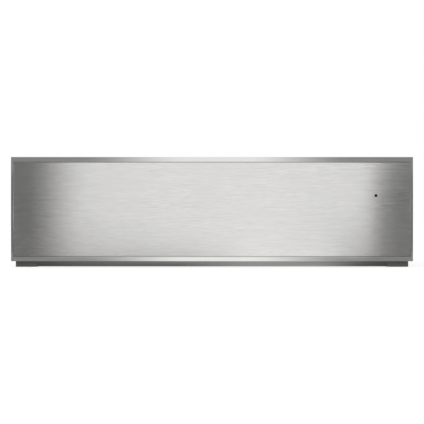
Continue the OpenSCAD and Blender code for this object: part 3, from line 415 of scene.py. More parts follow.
PLACE = (0.0, 0.0, 0.0)
BOTH = {"Tone": 0.0, "Height": 0.0}
MASK = {"Mask": 0.0}
RECIPES = {
    Effect.BRUSH: (brush_marks, {"Vector": PLACE, "Lines": 700.0, "Run": 60.0}, BOTH),
    Effect.SMUDGE: (smudges, {"Vector": PLACE, "Scale": 8.0}, MASK),
    Effect.WEAR: (edge_wear, {"Vector": PLACE, "Radius": 0.0008, "Amount": 1.0}, MASK),
    Effect.DUST: (settled_dust, {"Vector": PLACE, "Amount": 0.3}, MASK),
    Effect.SPANGLE: (zinc_spangle, {"Vector": PLACE, "Crystals": 90.0}, BOTH),
    Effect.FIBRE: (fibres, {"Vector": PLACE, "Strands": 120.0}, BOTH),
    Effect.GRAIN: (moulded_grain, {"Vector": PLACE, "Pebbles": 2600.0}, BOTH),
    Effect.STACK: (stacked_lines, {"Vector": PLACE, "Sheets": 300.0}, BOTH),
}
GROUPS: dict[Effect, Tree] = {}


def effect_group(effect: Effect) -> Tree:
    """Builds an effect's node group once.

    Args:
        effect: which effect.

    Returns:
        Its node group.
    """
    if effect not in GROUPS:
        make, inputs, outputs = RECIPES[effect]
        tree = bpy.data.node_groups.new(effect.value.replace(" ", "_"), "ShaderNodeTree")
        name_sockets(tree, "INPUT", inputs)
        name_sockets(tree, "OUTPUT", outputs)
        g = Graph(tree)
        g.add("NodeGroupOutput", make(g, g.add("NodeGroupInput").outputs))
        GROUPS[effect] = tree
    return GROUPS[effect]


def shade(colour: Colour, by: float) -> Colour:
    """A colour made lighter or darker."""
    return tuple(min(1.0, c * by) for c in colour)


class Surface:
    """One material in the making: its Principled shader and what feeds it."""

    def __init__(self, name: str, tone: Colour, **constants: float) -> None:
        """Starts a material.

        Args:
            name: the material's name.
            tone: its plain colour.
            constants: values of the shader's sockets, with _ for a space.
        """
        self.material = bpy.data.materials.new(name)
        self.graph = emptied(self.material)
        values = {key.replace("_", " "): value for key, value in constants.items()}
        self.shader = self.graph.add("ShaderNodeBsdfPrincipled", values)
        self.output = self.graph.add("ShaderNodeOutputMaterial", {"Surface": self.shader})
        self.place = self.graph.add("ShaderNodeTexCoord").outputs["Object"]
        self.tone = tone
        self.colour: object = tone

    def along(self, axis: Axis) -> Socket:
        """Object coordinates turned so that X runs along an axis."""
        turns = {Axis.X: (0.0, 0.0, 0.0), Axis.Y: (0.0, 0.0, -math.pi / 2), Axis.Z: (0.0, math.pi / 2, 0.0)}
        return self.graph.add("ShaderNodeMapping", {"Vector": self.place, "Rotation": turns[axis]}).outputs[0]

    def effect(self, effect: Effect, **values: object) -> Sockets:
        """Places a shared effect in this material, at the object's own place unless a Vector is given."""
        sockets = {"Vector": self.place, **values}
        return self.graph.add("ShaderNodeGroup", sockets, node_tree=effect_group(effect)).outputs

    def vary(self, mask: Socket, low: float, high: float) -> None:
        """Lets a mask drive the colour between a darker and a lighter tone."""
        self.colour = self.graph.mix(mask, shade(self.tone, low), shade(self.tone, high))

    def cover(self, mask: Socket, colour: Colour, share: float = 1.0) -> None:
        """Lays so much of another colour over the first, where a mask says."""
        thick = mask if share == 1.0 else self.graph.times(mask, share)
        self.colour = self.graph.mix(thick, self.colour, colour)

    def rough(self, mask: Socket, low: float, high: float) -> None:
        """Lets a mask drive the roughness between two values."""
        self.graph.feed(self.shader.inputs["Roughness"], self.graph.remap(mask, 0.0, 1.0, (low, high)))

    def relief(self, height: Socket, depth: float, strength: float) -> None:
        """Adds fine relief.

        Args:
            height: the height, from 0 to 1.
            depth: how deep it is, in metres.
            strength: how strongly it shows.
        """
        bump = self.graph.add("ShaderNodeBump", {"Height": height, "Distance": depth, "Strength": strength})
        self.graph.feed(self.shader.inputs["Normal"], bump)

    def done(self) -> bpy.types.Material:
        """Feeds the colour and gives the material."""
        self.graph.feed(self.shader.inputs["Base Color"], self.colour)
        return self.material


# ---------- finishes ----------


@dataclass(frozen=True)
class Finish:
    """A finish by name, with its plain colour."""

    name: str
    tone: Colour

    def make(self) -> bpy.types.Material:
        """Builds the material."""
        raise NotImplementedError


@dataclass(frozen=True)
class BrushedSteel(Finish):
    """Stainless sheet brushed along one axis."""

    grain: Axis = Axis.X
    rough: float = 0.3
    streak: float = 0.0
    lines: float = 700.0
    contrast: float = 0.05
    run: float = 60.0

    def make(self) -> bpy.types.Material:
        """Builds the steel, with its highlight drawn out across the grain where streak is set.

        Returns:
            The material.
        """
        s = Surface(self.name, self.tone, Metallic=1.0, Roughness=self.rough, Anisotropic=self.streak)
        marks = s.effect(Effect.BRUSH, Vector=s.along(self.grain), Lines=self.lines, Run=self.run)
        hands = s.effect(Effect.SMUDGE)["Mask"]
        s.vary(marks["Tone"], 1 - self.contrast, 1 + self.contrast)
        s.cover(hands, shade(self.tone, 0.97), share=0.5)
        s.rough(s.graph.blend(marks["Tone"], 0.6, hands), self.rough * 0.9, self.rough * 1.12)
        s.relief(marks["Height"], depth=0.00002, strength=0.25)
        if self.streak:
            way = s.graph.add("ShaderNodeTangent", direction_type="UV_MAP", uv_map=ACROSS)
            s.graph.feed(s.shader.inputs["Tangent"], way)
        return s.done()


@dataclass(frozen=True)
class GalvanisedSheet(Finish):
    """Hot-dipped sheet with its crystals and a little dust."""

    crystals: float = 85.0
    dust: Colour = (0.45, 0.43, 0.4)

    def make(self) -> bpy.types.Material:
        """Builds the zinc-coated sheet.

        Returns:
            The material.
        """
        s = Surface(self.name, self.tone, Metallic=0.9, Roughness=0.42)
        crystals = s.effect(Effect.SPANGLE, Crystals=self.crystals)
        s.vary(crystals["Tone"], 0.86, 1.12)
        s.cover(s.effect(Effect.SMUDGE, Scale=6.0)["Mask"], shade(self.tone, 0.82), share=0.35)
        s.cover(s.effect(Effect.DUST, Amount=0.25)["Mask"], self.dust)
        s.rough(crystals["Tone"], 0.5, 0.34)
        s.relief(crystals["Height"], depth=0.00005, strength=0.2)
        return s.done()


@dataclass(frozen=True)
class PlatedSteel(Finish):
    """Drawn or turned steel under a thin bright plating, a little warmer in places."""

    rough: float = 0.28
    lines: float = 500.0
    grain: Axis = Axis.Y
    warmth: Colour = (0.98, 0.95, 0.82)

    def make(self) -> bpy.types.Material:
        """Builds the plated steel.

        Returns:
            The material.
        """
        s = Surface(self.name, self.tone, Metallic=1.0, Roughness=self.rough)
        marks = s.effect(Effect.BRUSH, Vector=s.along(self.grain), Lines=self.lines, Run=12.0)
        cloud = s.effect(Effect.SMUDGE, Scale=40.0)["Mask"]
        s.vary(marks["Tone"], 0.9, 1.07)
        s.cover(cloud, tuple(c * w for c, w in zip(self.tone, self.warmth)), share=0.45)
        s.rough(cloud, self.rough * 0.8, self.rough * 1.4)
        s.relief(marks["Height"], depth=0.00002, strength=0.3)
        return s.done()


@dataclass(frozen=True)
class MouldedPlastic(Finish):
    """Moulded plastic with a fine skin, rubbed pale at its edges and a little dusty."""

    rough: float = 0.45
    pebbles: float = 2600.0
    dust: Colour = (0.4, 0.39, 0.37)

    def make(self) -> bpy.types.Material:
        """Builds the plastic.

        Returns:
            The material.
        """
        s = Surface(self.name, self.tone, Roughness=self.rough)
        skin = s.effect(Effect.GRAIN, Pebbles=self.pebbles)
        s.vary(skin["Tone"], 0.9, 1.1)
        rubbed = tuple(min(1.0, c * 1.5 + 0.03) for c in self.tone)
        s.cover(s.effect(Effect.WEAR, Amount=0.35)["Mask"], rubbed)
        s.cover(s.effect(Effect.DUST, Amount=0.12)["Mask"], self.dust)
        s.rough(skin["Tone"], self.rough * 0.88, self.rough * 1.12)
        s.relief(skin["Height"], depth=0.00004, strength=0.35)
        return s.done()


@dataclass(frozen=True)
class SoftRubber(Finish):
    """Matt silicone or rubber, faintly clouded."""

    def make(self) -> bpy.types.Material:
        """Builds the rubber.

        Returns:
            The material.
        """
        s = Surface(self.name, self.tone, Roughness=0.75, Sheen_Weight=0.15)
        cloud = s.effect(Effect.SMUDGE, Scale=14.0)["Mask"]
        s.vary(cloud, 0.88, 1.15)
        s.cover(s.effect(Effect.DUST, Amount=0.3)["Mask"], tuple(c * 1.6 + 0.02 for c in self.tone))
        s.rough(cloud, 0.68, 0.82)
        s.relief(s.effect(Effect.GRAIN, Pebbles=1500.0)["Height"], depth=0.00006, strength=0.4)
        return s.done()


@dataclass(frozen=True)
class ClearGlass(Finish):
    """Toughened plate, a clear guide or a smoked lens, with faint wiping marks."""

    rough: float = 0.03

    def make(self) -> bpy.types.Material:
        """Builds the glass, which lets the lamps through to what lies under it.

        Returns:
            The material.
        """
        s = Surface(self.name, self.tone, Roughness=self.rough, Transmission_Weight=1.0, IOR=1.5)
        wiped = s.effect(Effect.SMUDGE, Scale=5.0)["Mask"]
        s.cover(wiped, shade(self.tone, 0.97))
        s.rough(wiped, self.rough, self.rough + 0.05)
        path = s.graph.add("ShaderNodeLightPath").outputs["Is Shadow Ray"]
        through = s.graph.add("ShaderNodeBsdfTransparent", {"Color": (*self.tone, 1.0)})
        both = s.graph.add("ShaderNodeMixShader", {0: path, 1: s.shader, 2: through})
        s.graph.feed(s.output.inputs["Surface"], both)
        return s.done()


@dataclass(frozen=True)
class MineralWool(Finish):
    """Matted mineral fibre, browner where its binder lies thick."""

    binder: Colour = (0.42, 0.34, 0.2)

    def make(self) -> bpy.types.Material:
        """Builds the wool.

        Returns:
            The material.
        """
        s = Surface(self.name, self.tone, Roughness=0.95, Sheen_Weight=0.4)
        strands = s.effect(Effect.FIBRE, Strands=140.0)
        s.vary(strands["Tone"], 0.62, 1.2)
        s.cover(s.effect(Effect.SMUDGE, Scale=25.0)["Mask"], self.binder, share=0.4)
        s.rough(strands["Tone"], 0.9, 1.0)
        s.relief(strands["Height"], depth=0.0015, strength=0.7)
        return s.done()


@dataclass(frozen=True)
class RigidFoam(Finish):
    """Foam board, cut so that its cells show."""

    def make(self) -> bpy.types.Material:
        """Builds the foam.

        Returns:
            The material.
        """
        s = Surface(self.name, self.tone, Roughness=0.85)
        cells = s.effect(Effect.GRAIN, Pebbles=950.0)
        s.vary(cells["Height"], 0.6, 1.35)
        s.cover(s.effect(Effect.SMUDGE, Scale=30.0)["Mask"], shade(self.tone, 1.25), share=0.4)
        s.rough(cells["Tone"], 0.8, 0.92)
        s.relief(cells["Height"], depth=0.0004, strength=0.7)
        return s.done()


@dataclass(frozen=True)
class HeatedSteel(Finish):
    """Steel sheath darkened and tinted by heat."""

    cool: tuple[Colour, Colour] = ((0.07, 0.075, 0.1), (0.12, 0.1, 0.11))
    hot: Colour = (0.2, 0.13, 0.08)

    def make(self) -> bpy.types.Material:
        """Builds the heat-tinted steel.

        Returns:
            The material.
        """
        s = Surface(self.name, self.tone, Metallic=0.85, Roughness=0.45)
        heat = s.effect(Effect.SMUDGE, Scale=22.0)["Mask"]
        skin = s.effect(Effect.GRAIN, Pebbles=1800.0)
        s.colour = s.graph.mix(skin["Tone"], *self.cool)
        s.cover(heat, self.hot)
        s.rough(heat, 0.38, 0.6)
        s.relief(skin["Height"], depth=0.00005, strength=0.4)
        return s.done()


@dataclass(frozen=True)
class StackedSheets(Finish):
    """Laminations of a motor core, or the turns of its coil."""

    axis: Axis = Axis.Y
    sheets: float = 320.0
    metal: float = 0.8

    def make(self) -> bpy.types.Material:
        """Builds the stack.

        Returns:
            The material.
        """
        s = Surface(self.name, self.tone, Metallic=self.metal, Roughness=0.45)
        lines = s.effect(Effect.STACK, Vector=s.along(self.axis), Sheets=self.sheets)
        cloud = s.effect(Effect.SMUDGE, Scale=45.0)["Mask"]
        s.vary(lines["Tone"], 0.55, 1.15)
        s.cover(cloud, shade(self.tone, 0.8), share=0.5)
        s.rough(cloud, 0.35, 0.6)
        s.relief(lines["Height"], depth=0.0002, strength=0.6)
        return s.done()


@dataclass(frozen=True)
class PrintedBoard(Finish):
    """Glass-fibre board under green lacquer, with its copper tracks showing through."""

    cells: float = 130.0

    def make(self) -> bpy.types.Material:
        """Builds the board.

        Returns:
            The material.
        """
        s = Surface(self.name, self.tone, Roughness=0.35, Coat_Weight=0.4)
        tracks = s.graph.add("ShaderNodeTexVoronoi", {"Vector": s.place, "Scale": self.cells},
                             distance="CHEBYCHEV", feature="DISTANCE_TO_EDGE")
        track = s.graph.remap(tracks.outputs["Distance"], 0.06, 0.1)
        weave = s.effect(Effect.GRAIN, Pebbles=1700.0)
        s.vary(weave["Tone"], 0.85, 1.1)
        s.colour = s.graph.mix(track, shade(self.tone, 1.9), s.colour)
        s.rough(weave["Tone"], 0.3, 0.45)
        s.relief(track, depth=0.00006, strength=0.5)
        return s.done()


@dataclass(frozen=True)
class BraidedSleeve(Finish):
    """Woven sleeve, its weave laid along the piece by its own map."""

    strands_round: float = 8.0
    strands_along: float = 520.0

    def make(self) -> bpy.types.Material:
        """Builds the braid from two sets of slanted bands.

        Returns:
            The material.
        """
        s = Surface(self.name, self.tone, Roughness=0.85, Sheen_Weight=0.3)
        g = s.graph
        parts = g.axes(g.add("ShaderNodeUVMap", uv_map=ACROSS).outputs[0])
        bands = []
        for along in (self.strands_along, -self.strands_along):
            slant = g.plus(g.times(parts["X"], self.strands_round), g.times(parts["Y"], along))
            bands.append(g.math("ABSOLUTE", g.math("SINE", g.times(slant, math.pi))))
        weave = g.times(*bands)
        s.vary(weave, 0.55, 1.25)
        s.rough(weave, 0.8, 0.95)
        s.relief(weave, depth=0.0003, strength=0.6)
        return s.done()


STEEL: Colour = (0.665, 0.66, 0.648)
INNER: Colour = (0.6, 0.6, 0.595)
# A steel tone darkened to paint the shade that falls on the plinth strip and the fascia below the overhanging
# front.
SHADE_PAINTED_TONE: Colour = (0.26, 0.26, 0.25)


class Paint(Enum):
    """Every finish of the drawer."""

    PANEL = BrushedSteel("panel_brushed_steel", STEEL, Axis.X, 0.165, 0.96, 1000.0, 0.095, 20.0)
    BAR_LONG = BrushedSteel("bar_steel_along_x", STEEL, Axis.X, 0.06, 0.3, 800.0, 0.03)
    BAR_UPRIGHT = BrushedSteel("bar_steel_along_z", STEEL, Axis.Z, 0.045, 0.3, 800.0, 0.03)
    # Painted shade: a darker steel for the floor of the shadow gap between frame and panel.
    GAP = BrushedSteel("gap_dark_steel", (0.47, 0.47, 0.46), Axis.X, 0.14, 0.0, 700.0, 0.05)
    INNER_X = BrushedSteel("inner_steel_along_x", INNER, Axis.X, 0.34, 0.0, 600.0, 0.06)
    INNER_Y = BrushedSteel("inner_steel_along_y", INNER, Axis.Y, 0.34, 0.0, 600.0, 0.06)
    # Painted shade: the fascia and the strip take the darkened steel tone for the shade under the front.
    FASCIA = BrushedSteel("fascia_dark_steel", SHADE_PAINTED_TONE, Axis.Z, 0.3, 0.0, 700.0, 0.06)
    STRIP = BrushedSteel("strip_dark_steel", SHADE_PAINTED_TONE, Axis.X, 0.12, 0.3, 800.0, 0.05)
    ZINC_SHEET = GalvanisedSheet("galvanised_sheet", (0.58, 0.59, 0.6))
    RUNNER = PlatedSteel("runner_plated_steel", (0.62, 0.63, 0.64))
    CAGE = PlatedSteel("cage_steel_strip", (0.5, 0.5, 0.5), 0.35)
    BALL = PlatedSteel("ball_polished_steel", (0.72, 0.72, 0.72), 0.12, 200.0)
    SCREW = PlatedSteel("screw_plated_steel", (0.6, 0.6, 0.59), 0.25, 900.0)
    MACHINED = PlatedSteel("shaft_ground_steel", (0.58, 0.58, 0.58), 0.2, 900.0)
    BRASS = PlatedSteel("terminal_brass", (0.72, 0.58, 0.3), 0.25, 700.0)
    ALUMINIUM = PlatedSteel("wheel_aluminium_sheet", (0.7, 0.71, 0.72), 0.38, 420.0, Axis.X)
    SPRING = PlatedSteel("spring_wire_steel", (0.52, 0.52, 0.52), 0.3, 900.0)
    HEATER = HeatedSteel("heater_sheath", (0.17, 0.14, 0.13))
    CORE = StackedSheets("motor_core_sheets", (0.33, 0.33, 0.34))
    COIL = StackedSheets("motor_coil_wire", (0.55, 0.24, 0.1), Axis.X, 420.0, 0.7)
    DARK = MouldedPlastic("plastic_dark_grey", (0.06, 0.06, 0.062))
    KNOB = MouldedPlastic("plastic_knob_black", (0.045, 0.045, 0.047), 0.36, 3400.0)
    LIGHT = MouldedPlastic("plastic_natural_white", (0.78, 0.78, 0.75), 0.42)
    PRINT = MouldedPlastic("print_white", (0.82, 0.82, 0.8), 0.5, 5000.0)
    RELAY = MouldedPlastic("plastic_relay_blue", (0.03, 0.09, 0.28), 0.35)
    TERMINAL = MouldedPlastic("plastic_terminal_green", (0.05, 0.3, 0.12), 0.4)
    SLEEVED = MouldedPlastic("capacitor_sleeve", (0.02, 0.03, 0.07), 0.3)
    RESISTOR = MouldedPlastic("resistor_lacquer", (0.52, 0.4, 0.22), 0.4)
    TIE = MouldedPlastic("plastic_tie_white", (0.62, 0.62, 0.6), 0.5)
    CLEAR = ClearGlass("guide_clear_acrylic", (0.93, 0.94, 0.93), 0.06)
    LENS = ClearGlass("lens_smoked", (0.06, 0.045, 0.03), 0.12)
    GLASS = ClearGlass("floor_glass_dark", (0.3, 0.31, 0.31))
    MAT = SoftRubber("mat_grey_rubber", (0.11, 0.11, 0.112))
    STUD = SoftRubber("mat_rubbed_studs", (0.17, 0.17, 0.172))
    SILICONE = SoftRubber("silicone_grey", (0.32, 0.32, 0.32))
    WOOL = MineralWool("mineral_wool", (0.55, 0.49, 0.34))
    # A foam board whose dark tone is also painted shade where it shows at the bottom of the shadow gap.
    FOAM = RigidFoam("foam_board_dark", (0.1, 0.1, 0.1))
    CIRCUIT = PrintedBoard("circuit_board_green", (0.012, 0.11, 0.04))
    SLEEVE = BraidedSleeve("braided_sleeve", (0.16, 0.16, 0.17))


MADE: dict[Paint, bpy.types.Material] = {}


def material(paint: Paint) -> bpy.types.Material:
    """Builds a finish's material once.

    Args:
        paint: the finish.

    Returns:
        Its material.
    """
    if paint not in MADE:
        MADE[paint] = paint.value.make()
    return MADE[paint]


# ---------- shapes ----------


CAD_WELD = 0.000002
FLAT_ANGLE = math.radians(0.5)
ON_AXIS = 1e-7


def merged(node: str) -> BMesh:
    """A CAD node's mesh as a new mesh, with its corners merged and its flat areas whole.

    Args:
        node: the CAD node.

    Returns:
        The new mesh, which the caller frees.
    """
    bm = bmesh.new()
    bm.from_mesh(frame["nodes"][node].data)
    bmesh.ops.remove_doubles(bm, verts=bm.verts, dist=CAD_WELD)
    bmesh.ops.dissolve_limit(bm, angle_limit=FLAT_ANGLE, verts=bm.verts, edges=bm.edges)
    return bm


def loose_parts(node: str) -> list[np.ndarray]:
    """The corners of each separate solid of a CAD node.

    Args:
        node: the CAD node.

    Returns:
        One array of points for each solid, in the order of their places.
    """
    bm = merged(node)
    seen: set[int] = set()
    parts = []
    for start in bm.verts:
        if start.index in seen:
            continue
        todo, points = [start], []
        seen.add(start.index)
        while todo:
            vertex = todo.pop()
            points.append(vertex.co[:])
            for edge in vertex.link_edges:
                other = edge.other_vert(vertex)
                if other.index not in seen:
                    seen.add(other.index)
                    todo.append(other)
        parts.append(np.array(points))
    bm.free()
    return sorted(parts, key=lambda p: tuple(np.round(p.mean(0), 5)))


def linked(name: str, data: bpy.types.ID) -> Piece:
    """Puts a mesh, light, camera or text in the scene.

    Args:
        name: the object's name.
        data: what it shows.

    Returns:
        The object, at the origin.
    """
    piece = bpy.data.objects.new(name, data)
    bpy.context.scene.collection.objects.link(piece)
    return piece


def from_bmesh(name: str, bm: BMesh, *paints: Paint, smooth: float = 35.0) -> Piece:
    """Turns a built mesh into a piece, smooth except at its sharp edges.

    Args:
        name: the piece's name.
        bm: the mesh, already in place, which is freed.
        paints: its finishes, in the order of its material slots.
        smooth: the angle in degrees past which an edge stays sharp.

    Returns:
        The piece, at the origin.
    """
    limit = math.radians(smooth)
    for face in bm.faces:
        face.smooth = True
    for edge in bm.edges:
        edge.smooth = len(edge.link_faces) == 2 and edge.calc_face_angle(math.pi) < limit
    mesh = bpy.data.meshes.new(name)
    bm.to_mesh(mesh)
    bm.free()
    for paint in paints:
        mesh.materials.append(material(paint))
    return linked(name, mesh)


def map_across(mesh: bpy.types.Mesh, grain: Callable[[bpy.types.MeshPolygon], Axis]) -> None:
    """Gives a mesh a map whose U runs across the grain and whose V runs along it.

    Args:
        mesh: the mesh.
        grain: the grain's axis on a face.
    """
    layer = mesh.uv_layers.new(name=ACROSS)
    for face in mesh.polygons:
        along = grain(face).value
        facing = max(range(3), key=lambda k: abs(face.normal[k]))
        across = next(k for k in (2, 0, 1) if k not in (along, facing))
        for corner in face.loop_indices:
            place = mesh.vertices[mesh.loops[corner].vertex_index].co
            layer.data[corner].uv = (place[across], place[along])


def soften(piece: Piece, width: float, angle: float = 50.0) -> Piece:
    """Rounds a piece's sharp edges and keeps its flat faces flat.

    Args:
        piece: the piece.
        width: the width of the rounding, in metres.
        angle: the least angle between faces that is rounded, in degrees.

    Returns:
        The same piece.
    """
    rounding = piece.modifiers.new("rounded_edges", "BEVEL")
    rounding.width, rounding.segments = width, 2
    rounding.limit_method, rounding.angle_limit = "ANGLE", math.radians(angle)
    rounding.harden_normals = True
    return piece


def circle(steps: int) -> list[float]:
    """The angles of so many steps round a circle."""
    return [2 * math.pi * k / steps for k in range(steps)]


def lathe(bm: BMesh, profile: Sequence[Span], x: float, z: float, steps: int = 48) -> None:
    """Adds a closed shape turned about a line along Y.

    Args:
        bm: the mesh that gets it.
        profile: pairs of radius and Y, either from one end on the axis to the other or a closed ring.
        x: the axis's X.
        z: the axis's Z.
        steps: how many faces go round.
    """
    rings = []
    for radius, y in profile:
        angles = circle(steps) if radius > ON_AXIS else [0.0]
        rings.append([bm.verts.new((x + radius * math.cos(a), y, z + radius * math.sin(a))) for a in angles])
    ring_shaped = len(rings[0]) > 1 and len(rings[-1]) > 1
    new = []
    for first, second in zip(rings, rings[1:] + rings[:1] if ring_shaped else rings[1:]):
        for k in range(steps):
            corners = dict.fromkeys((first[k % len(first)], first[(k + 1) % len(first)],
                                     second[(k + 1) % len(second)], second[k % len(second)]))
            if len(corners) > 2:
                new.append(bm.faces.new(list(corners)))
    bmesh.ops.recalc_face_normals(bm, faces=new)


def block(bm: BMesh, low: Sequence[float], high: Sequence[float]) -> None:
    """Adds a box.

    Args:
        bm: the mesh that gets it.
        low: its lowest corner.
        high: its highest corner.
    """
    made = bmesh.ops.create_cube(bm, size=1.0)
    low, high = Vector(low), Vector(high)
    bmesh.ops.scale(bm, vec=high - low, verts=made["verts"])
    bmesh.ops.translate(bm, vec=(low + high) / 2, verts=made["verts"])


def tube(name: str, points: Sequence[Vector], radius: float, paint: Paint, sides: int = 14) -> Piece:
    """A closed round tube along a path, with a map whose V is the length along it.

    Args:
        name: the piece's name.
        points: the path.
        radius: the tube's radius.
        paint: its finish.
        sides: how many faces go round.

    Returns:
        The tube.
    """
    bm = bmesh.new()
    layer = bm.loops.layers.uv.new(ACROSS)
    normal = (points[1] - points[0]).orthogonal().normalized()
    rings, lengths, run = [], [], 0.0
    for k, point in enumerate(points):
        ahead = (points[min(k + 1, len(points) - 1)] - points[max(k - 1, 0)]).normalized()
        normal = (normal - ahead * normal.dot(ahead)).normalized()
        side = ahead.cross(normal)
        run += (point - points[k - 1]).length if k else 0.0
        lengths.append(run)
        rings.append([bm.verts.new(point + (normal * math.cos(a) + side * math.sin(a)) * radius)
                      for a in circle(sides)])
    for k in range(len(rings) - 1):
        for j in range(sides):
            n = (j + 1) % sides
            face = bm.faces.new((rings[k][j], rings[k][n], rings[k + 1][n], rings[k + 1][j]))
            places = ((j, k), (j + 1, k), (j + 1, k + 1), (j, k + 1))
            for loop, (u, v) in zip(face.loops, places):
                loop[layer].uv = (u / sides, lengths[v])
    bm.faces.new(rings[0])
    bm.faces.new(rings[-1])
    bmesh.ops.recalc_face_normals(bm, faces=bm.faces)
    return from_bmesh(name, bm, paint, smooth=60.0)


def rounded_path(corners: Sequence[Sequence[float]], radius: float, steps: int = 6) -> list[Vector]:
    """A path through corners in millimetres, with each inner corner turned into an arc.

    Args:
        corners: the corners, in millimetres.
        radius: how far from a corner its arc starts, in millimetres.
        steps: how many parts each arc has.

    Returns:
        The path's points, in metres.
    """
    places = [Vector(c) * MM for c in corners]
    path = [places[0]]
    for before, here, after in zip(places, places[1:], places[2:]):
        reach = min(radius * MM, (here - before).length / 2, (after - here).length / 2)
        start = here + (before - here).normalized() * reach
        end = here + (after - here).normalized() * reach
        for k in range(steps + 1):
            t = k / steps
            path.append(start * (1 - t) ** 2 + here * 2 * t * (1 - t) + end * t * t)
    return [*path, places[-1]]


# ---------- what repeats ----------


Shape = Callable[[Graph, Sockets], Socket]
HEAD_SIDES = 28
RECESS_WIDTH = 0.24


def recessed(g: Graph, head: object, top: float, reach: float, depth: Socket) -> Socket:
    """Cuts a cross recess into a screw's head.

    Args:
        g: the shape's tree.
        head: the head.
        top: how high its top is.
        reach: the length of the cross's two bars.
        depth: how deep they go.

    Returns:
        The head with its recess.
    """
    # The bars are 2 high, so their middle lies 1 above the recess's floor.
    place = g.add("ShaderNodeCombineXYZ", {2: g.math("SUBTRACT", top + 1.0, depth)})
    cut = g.add("GeometryNodeMeshBoolean", {"Mesh 1": head}, operation="DIFFERENCE")
    for size in ((reach, RECESS_WIDTH, 2.0), (RECESS_WIDTH, reach, 2.0)):
        bar = g.add("GeometryNodeMeshCube", {"Size": size}).outputs["Mesh"]
        g.tree.links.new(g.moved(bar, place), cut.inputs["Mesh 2"])
    return cut.outputs[0]


def pan_head(g: Graph, given: Sockets) -> Socket:
    """A domed head of unit radius and height, with a cross recess where its depth isn't 0.

    Args:
        g: the shape's tree.
        given: its inputs. Recess is the recess's depth.

    Returns:
        The head.
    """
    sockets = {"Vertices": HEAD_SIDES, "Radius": 1.0, "Depth": 2.0}
    rim = g.moved(g.add("GeometryNodeMeshCylinder", sockets).outputs["Mesh"], (0.0, 0.0, 1.0))
    sockets = {"Segments": HEAD_SIDES, "Rings": 20, "Radius": 1.35}
    crown = g.moved(g.add("GeometryNodeMeshUVSphere", sockets).outputs["Mesh"], (0.0, 0.0, -0.35))
    head = g.add("GeometryNodeMeshBoolean", {"Mesh 2": rim}, operation="INTERSECT")
    g.tree.links.new(crown, head.inputs["Mesh 2"])
    return recessed(g, head, top=1.0, reach=1.15, depth=given["Recess"])


def flush_head(g: Graph, given: Sockets) -> Socket:
    """A countersunk head of unit radius and depth, whose top is flat and has a cross recess.

    Args:
        g: the shape's tree.
        given: its inputs. Neck is its radius at the shank, and Recess the recess's depth.

    Returns:
        The head.
    """
    sockets = {"Vertices": HEAD_SIDES, "Radius Top": 1.0, "Radius Bottom": given["Neck"], "Depth": 1.0}
    head = g.moved(g.add("GeometryNodeMeshCone", sockets).outputs["Mesh"], (0.0, 0.0, -1.0))
    return recessed(g, head, top=0.0, reach=1.1, depth=given["Recess"])


def shank(g: Graph, given: Sockets) -> Socket:
    """A pin of unit radius and length below its head."""
    pin = g.add("GeometryNodeMeshCylinder", {"Vertices": 16, "Radius": 1.0, "Depth": 1.0}).outputs["Mesh"]
    return g.moved(pin, (0.0, 0.0, -0.499))


def stud(g: Graph, given: Sockets) -> Socket:
    """A low round stud of unit radius and height, narrower at its top."""
    sockets = {"Vertices": 8, "Radius Top": given["Top"], "Radius Bottom": 1.0, "Depth": 1.0}
    return g.add("GeometryNodeMeshCone", sockets).outputs["Mesh"]


def rib(g: Graph, given: Sockets) -> Socket:
    """A straight round rib of unit width and length."""
    sockets = {"Vertices": 8, "Radius Top": 0.5, "Radius Bottom": 0.5, "Depth": 1.0}
    return g.add("GeometryNodeMeshCone", sockets).outputs["Mesh"]


def band(g: Graph, given: Sockets) -> Socket:
    """A flat tie round a loom of unit radius, with its lock on one side.

    Args:
        g: the shape's tree.
        given: its inputs. Girth is the tie's own radius.

    Returns:
        The tie.
    """
    ring = g.add("GeometryNodeCurvePrimitiveCircle", {"Resolution": 24, "Radius": given["Girth"]})
    strap = g.add("GeometryNodeCurvePrimitiveQuadrilateral", {"Width": 0.16, "Height": 1.0})
    swept = g.add("GeometryNodeCurveToMesh", {"Curve": ring, "Profile Curve": strap})
    lock = g.moved(g.add("GeometryNodeMeshCube", {"Size": (0.6, 1.1, 1.4)}), (1.3, 0.0, 0.0))
    both = g.add("GeometryNodeJoinGeometry", {"Geometry": swept})
    g.tree.links.new(lock, both.inputs[0])
    return both.outputs[0]


